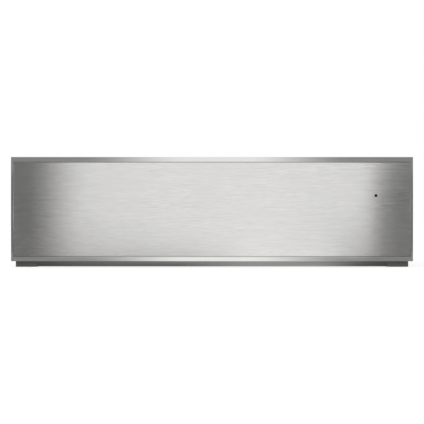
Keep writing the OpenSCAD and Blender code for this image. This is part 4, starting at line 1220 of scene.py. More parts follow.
@dataclass
class Repeat:
    """A shape that stands on many points: its tree of geometry nodes and the points."""

    name: str
    shape: Shape
    paint: Paint
    sizes: dict[str, float] = field(default_factory=dict)
    spin: float = 0.0
    weld: float = 0.0000002
    places: list[Vector] = field(default_factory=list)
    turns: list[Euler] = field(default_factory=list)
    scales: list[Vector] = field(default_factory=list)

    def put(self, place: Sequence[float], outward: Sequence[float], scale: Sequence[float]) -> None:
        """Adds one point.

        Args:
            place: where the shape stands.
            outward: where its Z points.
            scale: its size along each of its own axes.
        """
        self.places.append(Vector(place))
        self.turns.append(Vector(outward).to_track_quat("Z", "Y").to_euler())
        self.scales.append(Vector(scale))

    def tree(self) -> tuple[Tree, dict[str, str]]:
        """Builds the tree.

        Returns:
            The tree, and each input's identifier by its name.
        """
        tree = bpy.data.node_groups.new(self.name + "_tree", "GeometryNodeTree")
        sizes = {"Spin": 0.0, "Seed": 0, **{key: 0.0 for key in self.sizes}}
        names = name_sockets(tree, "INPUT", {"Geometry": "NodeSocketGeometry", **sizes,
                                             "Finish": "NodeSocketMaterial"})
        name_sockets(tree, "OUTPUT", {"Geometry": "NodeSocketGeometry"})
        g = Graph(tree)
        given = g.add("NodeGroupInput").outputs
        turn, scale = (g.add("GeometryNodeInputNamedAttribute", {"Name": key}, data_type="FLOAT_VECTOR")
                       for key in ("turn", "scale"))
        placed = g.add("GeometryNodeInstanceOnPoints", {"Points": given["Geometry"], "Rotation": turn,
                                                        "Instance": self.shape(g, given), "Scale": scale})
        # Input 3 is the largest of the random numbers.
        chance = g.add("FunctionNodeRandomValue", {3: 2 * math.pi, "Seed": given["Seed"]}, data_type="FLOAT")
        about = g.add("ShaderNodeCombineXYZ", {2: g.times(chance.outputs[1], given["Spin"])})
        spun = g.add("GeometryNodeRotateInstances", {"Instances": placed, "Rotation": about})
        real = g.add("GeometryNodeRealizeInstances", {"Geometry": spun})
        painted = g.add("GeometryNodeSetMaterial", {"Geometry": real, "Material": given["Finish"]})
        g.add("NodeGroupOutput", {0: painted})
        return tree, names

    def build(self) -> Piece:
        """Makes one plain mesh of all the shapes.

        Returns:
            The piece, without its modifier.
        """
        points = bpy.data.meshes.new(self.name + "_points")
        points.from_pydata([tuple(p) for p in self.places], [], [])
        for key, values in (("turn", self.turns), ("scale", self.scales)):
            held = points.attributes.new(key, "FLOAT_VECTOR", "POINT")
            held.data.foreach_set("vector", [c for v in values for c in v])
        source = linked(self.name + "_points", points)
        modifier = source.modifiers.new("repeat", "NODES")
        modifier.node_group, names = self.tree()
        inputs = {"Spin": self.spin, "Seed": SEED, **self.sizes, "Finish": material(self.paint)}
        for key, value in inputs.items():
            modifier[names[key]] = value
        graph = bpy.context.evaluated_depsgraph_get()
        mesh = bpy.data.meshes.new_from_object(source.evaluated_get(graph))
        source.modifiers.clear()
        bpy.data.objects.remove(source)
        bm = bmesh.new()
        bm.from_mesh(mesh)
        bmesh.ops.remove_doubles(bm, verts=bm.verts, dist=self.weld)
        return from_bmesh(self.name, bm, self.paint, smooth=38.0)


# ---------- assemblies ----------


@dataclass
class Assembly:
    """Some pieces that belong together."""

    def keep(self, paint: Paint, *nodes: str) -> None:
        """Leaves CAD nodes as they are and gives them a finish.

        Args:
            paint: the finish.
            nodes: the CAD nodes.
        """
        for node in nodes:
            for place in frame["nodes"][node].material_slots:
                place.material = material(paint)
            log.info("%s keeps its shape in %s", node, paint.value.name)

    def ride(self, piece: Piece, node: str, replaces: bool = True) -> Piece:
        """Lets a piece move with a CAD node's body and take its slot.

        Args:
            piece: the piece, in place.
            node: the CAD node that it goes with.
            replaces: whether it stands for that node.

        Returns:
            The same piece.
        """
        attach(piece, frame["nodes"][node]["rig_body"])
        if replaces:
            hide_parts(node)
        log.info("%s rides with %s: %d faces", piece.name, node, len(piece.data.polygons))
        return piece

    def dress(self, node: str, *paints: Paint, edge: float = 0.0, grain: Axis | None = None,
              choose: Callable[[Vector], int] | None = None, smooth: float = 35.0) -> Piece:
        """Replaces a CAD node by a finer copy of itself.

        Args:
            node: the CAD node.
            paints: the finishes.
            edge: how wide its sharp edges are rounded, or 0.
            grain: the axis of its grain, where its highlight needs one.
            choose: the place in paints for a face, by its centre.
            smooth: the angle in degrees past which an edge stays sharp.

        Returns:
            The new piece.
        """
        bm = merged(node)
        if choose:
            for face in bm.faces:
                face.material_index = choose(face.calc_center_median())
        piece = from_bmesh(node + "_dressed", bm, *paints, smooth=smooth)
        if grain:
            map_across(piece.data, lambda face: grain)
        if edge:
            soften(piece, edge)
        return self.ride(piece, node)


@dataclass
class Front(Assembly):
    """The frame of four bars, the brushed panel with its backing, and the indicator lens."""

    bar_edge: float = 0.00014
    side_bar: float = 0.0045
    half_width: float = 0.376
    inner_flange: float = 0.006
    upright_least: float = 0.03
    upright_z: Span = (0.022, 0.195)
    gap_depth: float = 0.004
    facing: float = -0.9
    lens_radius: float = 0.0026
    lens_dome: float = 0.0006
    lens_chamfer: float = 0.0002

    def build(self) -> None:
        """Builds the front."""
        self.bars()
        self.dress("front_panel", Paint.PANEL, edge=0.0002, grain=Axis.X)
        # The core's dark foam is partly painted shade for the shadow gap in front of it.
        self.keep(Paint.FOAM, "front_core")
        self.dress("front_inner_panel", Paint.INNER_X, edge=0.0003)
        self.indicator()

    def bars(self) -> None:
        """Brushes each bar of the frame along its own length, and gives the floor of the gap a darker steel
        as painted shade.
        """
        inner = self.half_width - self.side_bar
        bm = merged("front_frame")
        for face in bm.faces:
            centre = face.calc_center_median()
            corners = [v.co for v in face.verts]
            tall = max(c.z for c in corners) - min(c.z for c in corners) > self.upright_least
            beside = abs(centre.x) > inner and min(abs(c.x) for c in corners) > inner - self.inner_flange
            upright = tall or (beside and self.upright_z[0] < centre.z < self.upright_z[1])
            # Faces at the floor of the gap take the darker steel, which paints the shade in the gap.
            in_gap = face.normal.y < self.facing and centre.y > FACE_Y + self.gap_depth
            face.material_index = 2 if in_gap else int(upright)
        piece = from_bmesh("front_frame_dressed", bm, Paint.BAR_LONG, Paint.BAR_UPRIGHT, Paint.GAP)
        map_across(piece.data, lambda face: Axis.Z if face.material_index == 1 else Axis.X)
        soften(piece, self.bar_edge)
        self.ride(piece, "front_frame")

    def indicator(self) -> None:
        """Turns the small smoked lens with a domed end."""
        low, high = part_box("indicator_lens")
        centre, r = middle("indicator_lens"), self.lens_radius
        skin = [(r * math.sin(a), low.y + self.lens_dome * (1 - math.cos(a)))
                for a in np.linspace(0, math.pi / 2, 7)]
        skin += [(r, high.y - self.lens_chamfer), (r - self.lens_chamfer, high.y), (0.0, high.y)]
        bm = bmesh.new()
        lathe(bm, skin, centre.x, centre.z, 32)
        self.ride(from_bmesh("indicator_lens_dressed", bm, Paint.LENS), "indicator_lens")


@dataclass
class DrawerTub(Assembly):
    """The drawer behind the front: floor, sides, rear wall, glass, pads, mat and striker."""

    mat_border: float = 0.006
    mat_corner: float = 0.012
    stud_pitch: float = 0.009
    stud_radius: float = 0.0024
    stud_height: float = 0.0005
    stud_sink: float = 0.0001

    def build(self) -> None:
        """Builds the drawer."""
        self.keep(Paint.INNER_Y, "drawer_floor")
        for side in ("left", "right"):
            self.dress(f"drawer_{side}_side", Paint.INNER_Y, edge=0.0002)
        self.dress("drawer_rear_wall", Paint.INNER_X)
        self.dress("glass_floor", Paint.GLASS, edge=0.0008)
        self.dress("glass_pads", Paint.SILICONE, edge=0.0003)
        self.mat()
        self.dress("latch_striker", Paint.ZINC_SHEET, edge=0.0002)

    def mat(self) -> None:
        """Lays the mat: a thin sheet with round corners and rows of low studs."""
        low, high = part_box("nonslip_mat")
        top = high.z - self.stud_height
        bm = bmesh.new()
        block(bm, low, (high.x, high.y, top))
        uprights = [e for e in bm.edges if abs(e.verts[0].co.z - e.verts[1].co.z) > (top - low.z) / 2]
        bmesh.ops.bevel(bm, geom=uprights, offset=self.mat_corner, segments=8, affect="EDGES", profile=0.5)
        self.ride(soften(from_bmesh("mat_sheet", bm, Paint.MAT), 0.0003), "nonslip_mat")
        studs = Repeat("mat_studs", stud, Paint.STUD, {"Top": 0.7})
        across, deep = (int((high[k] - low[k] - 2 * self.mat_border) / self.stud_pitch) for k in (0, 1))
        centre = (low + high) / 2
        size = (self.stud_radius, self.stud_radius, self.stud_height + self.stud_sink)
        for i in range(across):
            for j in range(deep):
                if min(i, across - 1 - i) + min(j, deep - 1 - j) < 1:
                    continue
                x = centre.x + (i - (across - 1) / 2) * self.stud_pitch
                y = centre.y + (j - (deep - 1) / 2) * self.stud_pitch
                studs.put((x, y, top - self.stud_sink), (0, 0, 1), size)
        self.ride(studs.build(), "nonslip_mat", replaces=False)


@dataclass
class Fasteners(Assembly):
    """Screws and rivets, each where its CAD solid is."""

    node: str
    recess: float = 1.45
    flush_recess: float = 0.75
    flush_neck: float = 0.56
    flush_depth: float = 0.0009
    screw_radius: float = 0.003
    rim: float = 0.00005
    level: float = 0.0001

    def build(self) -> None:
        """Sorts the solids into screws and rivets and builds each kind as one piece."""
        flush = {"Recess": self.flush_recess, "Neck": self.flush_neck}
        kinds = {
            "pan_heads": Repeat(self.node + "_heads", pan_head, Paint.SCREW, {"Recess": self.recess}, 1.0),
            "flush_heads": Repeat(self.node + "_flush_heads", flush_head, Paint.SCREW, flush, 1.0),
            "rivet_heads": Repeat(self.node + "_rivets", pan_head, Paint.SCREW, {"Recess": 0.0}),
            "shanks": Repeat(self.node + "_shanks", shank, Paint.SCREW),
        }
        for part in loose_parts(self.node):
            self.sort(part, kinds)
        filled = [repeat for repeat in kinds.values() if repeat.places]
        for repeat in filled:
            self.ride(repeat.build(), self.node, replaces=repeat is filled[0])

    def sort(self, part: np.ndarray, kinds: dict[str, Repeat]) -> None:
        """Finds a solid's axis, its head and its pin.

        Args:
            part: the solid's corners.
            kinds: the repeats that take them.
        """
        low, high = part.min(0), part.max(0)
        size, centre = high - low, (low + high) / 2
        axis = min(range(3), key=lambda k: abs(size[(k + 1) % 3] - size[(k + 2) % 3]))
        reach = np.hypot(*(part[:, k] - centre[k] for k in range(3) if k != axis))
        wide = part[reach > reach.max() - self.rim][:, axis]
        outward = 1.0 if wide.mean() > centre[axis] else -1.0
        base, tip = (wide.min(), high[axis]) if outward > 0 else (wide.max(), low[axis])
        flush = abs(tip - base) < self.level
        head = self.flush_depth if flush else abs(tip - base)
        pin = np.sort(reach)[: len(reach) // 2].mean()
        away, place = [0.0] * 3, list(centre)
        away[axis], place[axis] = outward, float(base)
        radius = float(reach.max())
        kind = "flush_heads" if flush else "pan_heads" if radius > self.screw_radius else "rivet_heads"
        kinds[kind].put(place, away, (radius, radius, head))
        place[axis] = float(tip) - outward * head
        kinds["shanks"].put(place, away, (pin, pin, float(size[axis]) - head))


@dataclass
class Runners(Assembly):
    """Both ball runners with their cages."""

    largest_ball: float = 0.006
    ball_margin: float = 1.01

    def build(self) -> None:
        """Builds the six members and four cages."""
        for side in ("left", "right"):
            for member in ("outer", "middle", "inner"):
                self.dress(f"{side}_runner_{member}", Paint.RUNNER, edge=0.00015)
            for cage in ("outer", "inner"):
                self.cage(f"{side}_{cage}_ball_cage")

    def cage(self, node: str) -> None:
        """Polishes the balls of a cage.

        Args:
            node: the cage's CAD node.
        """
        balls = [p for p in loose_parts(node) if np.ptp(p, axis=0).max() < self.largest_ball]
        centres = np.array([(p.min(0) + p.max(0)) / 2 for p in balls])
        reach = float(np.median([np.ptp(p, axis=0).max() for p in balls])) / 2 * self.ball_margin
        self.dress(node, Paint.CAGE, Paint.BALL, smooth=50.0,
                   choose=lambda place: int(np.linalg.norm(centres - np.array(place), axis=1).min() < reach))


@dataclass
class Carcass(Assembly):
    """The outer sheets, the fascia with its feet, the liners and the insulation."""

    sheets: tuple[str, ...] = ("base_plate", "left_side_panel", "right_side_panel", "top_cover", "rear_cover")
    lump: float = 0.0011
    least_lump: float = 0.55
    lumps_per_metre: float = 60.0
    cell: float = 0.011
    dent_radius: float = 0.014
    dent_depth: float = 0.0035
    touch: float = 1e-6

    def build(self) -> None:
        """Builds the carcass."""
        for node in self.sheets:
            self.dress(node, Paint.ZINC_SHEET)
        # The strip and the fascia take the darkened steel, which paints the shade under the front.
        self.dress("base_strip", Paint.STRIP, edge=0.0003, grain=Axis.X)
        self.dress("header_rail", Paint.INNER_X, edge=0.0003)
        for side in ("left", "right"):
            self.dress(f"{side}_fascia", Paint.FASCIA, edge=0.0003)
            self.dress(f"{side}_liner", Paint.INNER_Y)
        self.keep(Paint.INNER_Y, "ceiling_plate")
        self.dress("back_wall", Paint.INNER_X)
        self.dress("closing_buffers", Paint.SILICONE, edge=0.0006)
        self.wool()

    def wool(self) -> None:
        """Makes each insulation block a soft, uneven mat inside its CAD solid."""
        rivets = [(p.min(0) + p.max(0)) / 2 for p in loose_parts("carcass_fixings")]
        for number, part in enumerate(loose_parts("insulation")):
            low, high = Vector(part.min(0)), Vector(part.max(0))
            bm = bmesh.new()
            block(bm, low, high)
            self.cut_fine(bm, high - low)
            for vertex in bm.verts:
                vertex.co = self.lumpy(vertex.co.copy(), low, high, rivets)
            piece = from_bmesh(f"insulation_mat_{number + 1}", bm, Paint.WOOL, smooth=180.0)
            soft = piece.modifiers.new("soft", "SUBSURF")
            soft.levels = soft.render_levels = 1
            self.ride(piece, "insulation", replaces=number == 0)

    def cut_fine(self, bm: BMesh, size: Vector) -> None:
        """Cuts a block into cells along each of its sides.

        Args:
            bm: the block.
            size: its size.
        """
        low = Vector(min(v.co[k] for v in bm.verts) for k in range(3))
        for k in range(3):
            cuts = max(2, int(size[k] / self.cell))
            across = Vector(float(j == k) for j in range(3))
            for step in range(1, cuts):
                at = low.copy()
                at[k] += size[k] * step / cuts
                bmesh.ops.bisect_plane(bm, geom=bm.verts[:] + bm.edges[:] + bm.faces[:], plane_co=at,
                                       plane_no=across, dist=self.touch)

    def lumpy(self, place: Vector, low: Vector, high: Vector, rivets: list[np.ndarray]) -> Vector:
        """Pulls a point of a block inwards by an uneven amount, and clear of the rivets beside it.

        Args:
            place: the point on the block's surface.
            low: the block's lowest corner.
            high: its highest corner.
            rivets: the centres of the rivets and screws.

        Returns:
            The point's new place.
        """
        uneven = noise.noise(place * self.lumps_per_metre)
        amount = self.lump * (self.least_lump + (1 - self.least_lump) * uneven)
        pull = Vector((0.0, 0.0, 0.0))
        for k in range(3):
            if place[k] - low[k] < self.touch:
                pull[k] = 1.0
            elif high[k] - place[k] < self.touch:
                pull[k] = -1.0
        for centre in rivets:
            away = (place - Vector(centre)).length
            if away < self.dent_radius:
                amount = max(amount, self.dent_depth * (1 - (away / self.dent_radius) ** 4))
        return place + pull * amount


@dataclass
class WarmAir(Assembly):
    """The fan, its motor, the ring heater and their cover."""

    core_half: float = 0.027
    coil_half: float = 0.022
    coil_top: float = 0.001
    slack: float = 0.0001
    bearing_radius: float = 0.0101
    bearing_y: float = 0.2453
    cutout_x: float = -0.057
    cutout_radius: float = 0.0092
    cutout_back: float = 0.2495

    def build(self) -> None:
        """Builds the warm-air unit."""
        self.dress("fan_cover", Paint.INNER_X)
        self.dress("heating_element", Paint.HEATER)
        self.dress("fan_wheel", Paint.ALUMINIUM, edge=0.0001)
        self.dress("fan_shaft", Paint.MACHINED, edge=0.0003)
        self.dress("fan_motor", Paint.CORE, Paint.COIL, Paint.MACHINED, edge=0.0004, choose=self.motor_part)
        self.dress("thermal_cutout", Paint.DARK, Paint.BRASS, edge=0.0002, choose=self.cutout_part)
        self.dress("temperature_probe", Paint.MACHINED, edge=0.0003)

    def motor_part(self, place: Vector) -> int:
        """Tells the motor's coil and bearings from its core.

        Args:
            place: a face's centre.

        Returns:
            0 for the core, 1 for the coil or 2 for a bearing.
        """
        above = place.z - (FAN_Z - self.core_half)
        if above < self.slack or (above < self.coil_top and abs(place.x) < self.coil_half):
            return 1
        near = math.hypot(place.x, place.z - FAN_Z)
        return 2 if near < self.bearing_radius or place.y < self.bearing_y else 0

    def cutout_part(self, place: Vector) -> int:
        """Whether a face belongs to the cut-out's tabs and strap and not to its body."""
        away = math.hypot(place.x - self.cutout_x, place.z - FAN_Z)
        return int(place.y > self.cutout_back or away > self.cutout_radius)


@dataclass
class Controls(Assembly):
    """The knob in its hollow, with the dial, and what lies behind it."""

    skirt_radius: float = 0.0145
    skirt_face: float = 0.005
    skirt_rounding: tuple[Span, ...] = ((0.0, 0.0012), (0.0004, 0.0005), (0.0012, 0.0))
    skirt_dish: float = 0.0006
    bore: float = 0.0032
    grip_reach: float = 0.0144
    grip_half: float = 0.003
    grip_taper: float = 0.0008
    grip_lead: float = 0.0005
    grip_foot: float = 0.0012
    ribs: int = 60
    rib_width: float = 0.00085
    rib_offset: float = 0.0014
    rib_margin: float = 0.0016
    pointer_half: float = 0.0005
    pointer_run: Span = (0.0055, 0.0142)
    pointer_proud: float = 0.00002
    pointer_depth: float = 0.0006
    dial_radius: float = 0.02525
    digit_size: float = 0.00351
    digit_depth: float = 0.00004
    digit_proud: float = 0.00003
    steps: tuple[str, ...] = ("0", "1", "2", "3", "4")

    def build(self) -> None:
        """Builds the controls."""
        self.dress("knob_bowl", Paint.KNOB, edge=0.0003)
        self.knob()
        self.dial()
        self.dress("control_box", Paint.DARK, edge=0.0006)
        self.dress("rotary_switch", Paint.DARK, edge=0.0004)
        self.dress("switch_spindle", Paint.MACHINED, edge=0.0004)
        self.dress("light_guide", Paint.CLEAR, edge=0.0003)

    def knob(self) -> None:
        """Turns the skirt, stands the grip on it, sets fine ribs round it and prints its pointer."""
        low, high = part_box("control_knob")
        face, r = low.y + self.skirt_face, self.skirt_radius
        bm = bmesh.new()
        edge = [(r - inset, face + back) for inset, back in self.skirt_rounding]
        skin = [(self.bore, high.y), (r, high.y), *edge, (self.bore, face + self.skirt_dish)]
        lathe(bm, skin, KNOB.x, KNOB.z, 72)
        self.grip(bm, low.y, face)
        self.ride(soften(from_bmesh("control_knob_body", bm, Paint.KNOB), 0.0003, angle=40.0), "control_knob")
        ribs = Repeat("control_knob_ribs", rib, Paint.KNOB)
        start, size = (high.y + face + self.rib_offset) / 2, high.y - face - self.rib_margin
        for a in circle(self.ribs):
            ribs.put((KNOB.x + r * math.cos(a), start, KNOB.z + r * math.sin(a)), (0, 1, 0),
                     (self.rib_width, self.rib_width, size))
        self.ride(ribs.build(), "control_knob", replaces=False)
        bm = bmesh.new()
        inner, outer = self.pointer_run
        block(bm, (KNOB.x - self.pointer_half, low.y - self.pointer_proud, KNOB.z + inner),
              (KNOB.x + self.pointer_half, low.y + self.pointer_depth, KNOB.z + outer))
        self.ride(from_bmesh("control_knob_pointer", bm, Paint.PRINT), "control_knob", replaces=False)

    def grip(self, bm: BMesh, front: float, back: float) -> None:
        """Adds the grip: a bar across the skirt that widens towards it.

        Args:
            bm: the knob's mesh.
            front: the Y of the grip's outer face.
            back: the Y of the skirt's face.
        """
        rows = []
        for y, taper, lead in ((back + self.grip_foot, 0.0, 0.0), (front, self.grip_taper, self.grip_lead)):
            half = self.grip_half - taper
            reach = math.sqrt(self.grip_reach ** 2 - half ** 2) - lead
            row = []
            for way in (1, -1):
                for k in range(7):
                    x = way * (half - 2 * half * k / 6)
                    bow = math.sqrt(max(reach ** 2 + half ** 2 - x * x, 0.0))
                    row.append(bm.verts.new((KNOB.x + x, y, KNOB.z + way * bow)))
            rows.append(row)
        new = [bm.faces.new(row) for row in rows]
        count = len(rows[0])
        for k in range(count):
            n = (k + 1) % count
            new.append(bm.faces.new((rows[0][k], rows[0][n], rows[1][n], rows[1][k])))
        bmesh.ops.recalc_face_normals(bm, faces=new)

    def dial(self) -> None:
        """Prints the steps round the bezel, from the top clockwise to the bottom."""
        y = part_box("knob_bowl")[0].y - self.digit_proud
        upright = Matrix.Rotation(math.pi / 2, 4, "X")
        made = bmesh.new()
        for number, text in enumerate(self.steps):
            angle = math.radians(180 * number / (len(self.steps) - 1))
            curve = bpy.data.curves.new("dial_digit", "FONT")
            curve.body, curve.size, curve.extrude = text, self.digit_size, self.digit_depth
            curve.align_x, curve.align_y = "CENTER", "CENTER"
            letter = linked("dial_digit", curve)
            bpy.context.view_layer.update()
            mesh = bpy.data.meshes.new_from_object(letter)
            place = (KNOB.x + self.dial_radius * math.sin(angle), y,
                     KNOB.z + self.dial_radius * math.cos(angle))
            mesh.transform(Matrix.Translation(place) @ upright)
            made.from_mesh(mesh)
            bpy.data.objects.remove(letter)
        bmesh.ops.remove_doubles(made, verts=made.verts, dist=0.000001)
        bmesh.ops.recalc_face_normals(made, faces=made.faces)
        self.ride(from_bmesh("dial_digits", made, Paint.PRINT), "knob_bowl", replaces=False)


@dataclass
class CircuitBoard(Assembly):
    """The circuit board behind the knob, with its small parts."""

    plate_y: Span = (-0.2183, -0.2167)
    terminal_height: float = 0.0165
    relay_run: Span = (0.004, 0.024)
    capacitor_z: float = 0.1405
    slack: float = 0.0001
    resistors: int = 7
    resistor_pitch: float = 0.0045
    resistor_inset: float = 0.006
    resistor_away: float = 0.0012
    resistor_size: Triple = (0.0011, 0.0011, 0.0065)
    screws: int = 5
    screw_end: float = 0.0085
    screw_away: float = 0.006
    screw_sink: float = 0.0003
    screw_size: Triple = (0.0022, 0.0022, 0.0009)

    def build(self) -> None:
        """Paints each part on the board and adds its small resistors and terminal screws."""
        low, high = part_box("circuit_board")
        back, top = self.plate_y[1], low.z + self.terminal_height
        self.dress("circuit_board", Paint.CIRCUIT, Paint.TERMINAL, Paint.RELAY, Paint.SLEEVED, Paint.DARK,
                   Paint.LENS, edge=0.0003, choose=self.part)
        resistors = Repeat("board_resistors", stud, Paint.RESISTOR, {"Top": 0.9})
        for k in range(self.resistors):
            x = high.x - self.resistor_inset - self.resistor_pitch * k
            place = (x, back + self.resistor_away, high.z - self.resistor_inset)
            resistors.put(place, (0, 0, 1), self.resistor_size)
        self.ride(resistors.build(), "circuit_board", replaces=False)
        screws = Repeat("board_terminal_screws", pan_head, Paint.BRASS, {"Recess": 1.4}, 1.0)
        for x in np.linspace(low.x + self.screw_end, high.x - self.screw_end, self.screws):
            screws.put((x, back + self.screw_away, top - self.screw_sink), (0, 0, 1), self.screw_size)
        self.ride(screws.build(), "circuit_board", replaces=False)

    def part(self, place: Vector) -> int:
        """Tells the parts on the board apart.

        Args:
            place: a face's centre.

        Returns:
            0 for the board, 1 for the terminals, 2 for the relay, 3 for the capacitors, 4 for the rest and
            5 for the lamp on its front.
        """
        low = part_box("circuit_board")[0]
        front, back = self.plate_y
        if place.y < back + self.slack / 2:
            return 5 if place.y < front - self.slack else 0
        if place.z < low.z + self.terminal_height:
            return 1
        if place.z > self.capacitor_z:
            return 3
        start, end = self.relay_run
        return 2 if start - self.slack < place.x - low.x < end + self.slack else 4


@dataclass
class Supply(Assembly):
    """The mains inlet at the rear and the two wiring looms."""

    inlet: Span = (0.3, 0.046)
    blades: tuple[Span, ...] = ((-0.007, -0.002), (0.007, -0.002), (0.0, 0.002))
    blade_half: float = 0.0035
    blade_y: Span = (0.2578, 0.2724)
    tab_y: float = 0.2544
    loom_radius: float = 0.0024
    bend: float = 6.0
    tie_pitch: float = 0.09
    tie_girth: float = 1.04
    routes: tuple[tuple[Triple, ...], ...] = (
        ((320.5, -204.7, 62.5), (320.5, -143.1, 62.5), (320.5, -143.1, 7.2), (320.5, 249.4, 7.2),
         (45.0, 249.4, 7.2), (45.0, 249.4, 160.75), (15.1, 249.4, 160.75)),
        ((336.5, -204.7, 62.5), (336.5, -143.1, 62.5), (336.5, -143.1, 7.2), (336.5, 245.6, 7.2),
         (336.5, 245.6, 46.0), (304.0, 245.6, 46.0)),
    )

    def build(self) -> None:
        """Builds the inlet and the looms."""
        self.dress("mains_inlet", Paint.DARK, Paint.BRASS, edge=0.0003, choose=self.inlet_part)
        self.looms()

    def inlet_part(self, place: Vector) -> int:
        """Tells the inlet's blades and tabs from its body.

        Args:
            place: a face's centre.

        Returns:
            1 for a blade or tab, else 0.
        """
        x, z = place.x - self.inlet[0], place.z - self.inlet[1]
        on_blade = any(max(abs(x - a), abs(z - b)) < self.blade_half for a, b in self.blades)
        shown = self.blade_y[0] < place.y < self.blade_y[1] or place.y < self.tab_y
        return int(on_blade and shown)

    def looms(self) -> None:
        """Draws each loom as a braided sleeve along its route, with ties on its long runs."""
        ties = Repeat("loom_ties", band, Paint.TIE, {"Girth": self.tie_girth})
        for number, route in enumerate(self.routes):
            path = rounded_path(route, self.bend)
            sleeve = tube(f"loom_sleeve_{number + 1}", path, self.loom_radius, Paint.SLEEVE)
            self.ride(sleeve, "wiring_loom", replaces=number == 0)
            for start, end in zip(route, route[1:]):
                run = (Vector(end) - Vector(start)) * MM
                count = int(run.length / self.tie_pitch)
                for k in range(count):
                    place = Vector(start) * MM + run * ((k + 0.5) / count)
                    ties.put(place, run.normalized(), (self.loom_radius,) * 3)
        self.ride(ties.build(), "wiring_loom", replaces=False)


@dataclass
class PushLatch(Assembly):
    """The push latch under the drawer."""

    def build(self) -> None:
        """Builds the latch."""
        self.dress("latch_housing", Paint.DARK, edge=0.0004)
        self.dress("latch_slider", Paint.LIGHT, edge=0.0003)
        self.keep(Paint.SPRING, "latch_spring")


# ---------- studio ----------


def backdrop(name: str, rows: Sequence[Span], half: float) -> Piece:
    """A sheet that runs across X, follows rows of Y and Z and isn't part of the object.

    Args:
        name: its name.
        rows: the pairs of Y and Z.
        half: half its width.

    Returns:
        The sheet.
    """
    mesh = bpy.data.meshes.new(name)
    points = [(side * half, y, z) for y, z in rows for side in (-1, 1)]
    faces = [(2 * k, 2 * k + 1, 2 * k + 3, 2 * k + 2) for k in range(len(rows) - 1)]
    mesh.from_pydata(points, [], faces)
    piece = linked(name, mesh)
    return piece


@dataclass
class MirrorCard:
    """The soft card in front that only reflections show: bright in the middle and dark at its sides.

    A place on it is given by where the camera sees its reflection on the front: side is the X there and
    height the Z. Each rise is where a level grows from 0 to 1, and each fall where it drops again.
    """

    eye_distance: float
    eye_height: float
    reach: float = 1.5
    half_width: float = 2.6
    top: float = 3.0
    bend: float = 0.4
    lift: float = 0.001
    panel_rise: Span = (-0.35, -0.23)
    panel_fall: Span = (0.275, 0.3)
    panel_slant: float = 0.15
    panel_gain: float = 1.4
    middle_rise: Span = (-0.25, -0.04)
    middle_fall: Span = (0.06, 0.26)
    middle_dim: float = 0.45
    rim_rise: Span = (0.3695, 0.3725)
    rim_fall: Span = (0.381, 0.388)
    rim_level: float = 0.32
    top_bar: Span = (0.82, 0.34)
    top_rise: Span = (0.16, 0.19)
    top_fall: Span = (0.25, 0.29)
    bottom_bar: Span = (0.89, 0.35)
    bottom_edge: Span = (0.02, 0.038)
    strip: Span = (0.9, 0.2)
    strip_rise: Span = (-0.09, 0.1)
    strip_fall: Span = (0.19, 0.29)
    strip_edge: Span = (0.25, 0.4)
    beside: Span = (0.5, 0.8)
    above: Span = (0.7, 1.1)
    outer_level: float = 0.6

    def build(self) -> None:
        """Stands the card in front, with its foot bent towards the strip."""
        near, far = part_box("base_strip")[0].y - self.lift, FACE_Y - self.reach
        foot = [(far + self.bend * (1 - math.sin(a)), self.bend - self.bend * math.cos(a) + self.lift)
                for a in np.linspace(0, math.pi / 2, 8)]
        piece = backdrop("mirror_card", [(near, self.lift), *foot, (far, self.top)], self.half_width)
        for ray in ("camera", "diffuse", "transmission", "volume_scatter", "shadow"):
            setattr(piece, "visible_" + ray, False)
        soft = bpy.data.materials.new("soft_card")
        g = emptied(soft)
        g.add("ShaderNodeOutputMaterial", {0: g.add("ShaderNodeEmission", {"Strength": self.glow(g)})})
        piece.data.materials.append(soft)

    def glow(self, g: Graph) -> Socket:
        """How bright the card is at each of its points.

        Args:
            g: the card's tree.

        Returns:
            The brightness.
        """
        parts = g.axes(g.add("ShaderNodeTexCoord").outputs["Object"])
        away, share = g.math("SUBTRACT", FACE_Y, parts["Y"]), 1.0 / self.eye_distance
        spread = g.level(away, share, 1.0)
        side = g.math("DIVIDE", parts["X"], spread)
        height = g.math("DIVIDE", g.plus(parts["Z"], g.times(away, self.eye_height * share)), spread)
        apart = g.math("ABSOLUTE", side)
        slant = g.math("SUBTRACT", side, g.times(height, self.panel_slant))
        broad = g.times(g.remap(side, *self.panel_rise, soft=True),
                        g.remap(slant, *self.panel_fall, (1.0, 0.0), soft=True))
        slim = g.hill(side, self.middle_rise, self.middle_fall)
        panel = g.math("SUBTRACT", g.times(broad, self.panel_gain), g.times(slim, self.middle_dim))
        rim = g.times(g.hill(apart, self.rim_rise, self.rim_fall), self.rim_level)
        top_bar, bottom_bar = g.level(slim, *self.top_bar), g.level(slim, *self.bottom_bar)
        strip = g.level(g.hill(side, self.strip_rise, self.strip_fall), *self.strip)
        in_top_bar = g.hill(height, self.top_rise, self.top_fall)
        level = g.turn_into(g.math("MAXIMUM", panel, rim), top_bar, in_top_bar)
        level = g.turn_into(bottom_bar, level, g.remap(height, *self.bottom_edge, soft=True))
        level = g.turn_into(strip, level, g.remap(away, *self.strip_edge, soft=True))
        around = g.math("MAXIMUM", *(g.remap(value, *span, soft=True)
                                     for value, span in ((apart, self.beside), (height, self.above))))
        return g.math("MAXIMUM", level, g.times(around, self.outer_level))


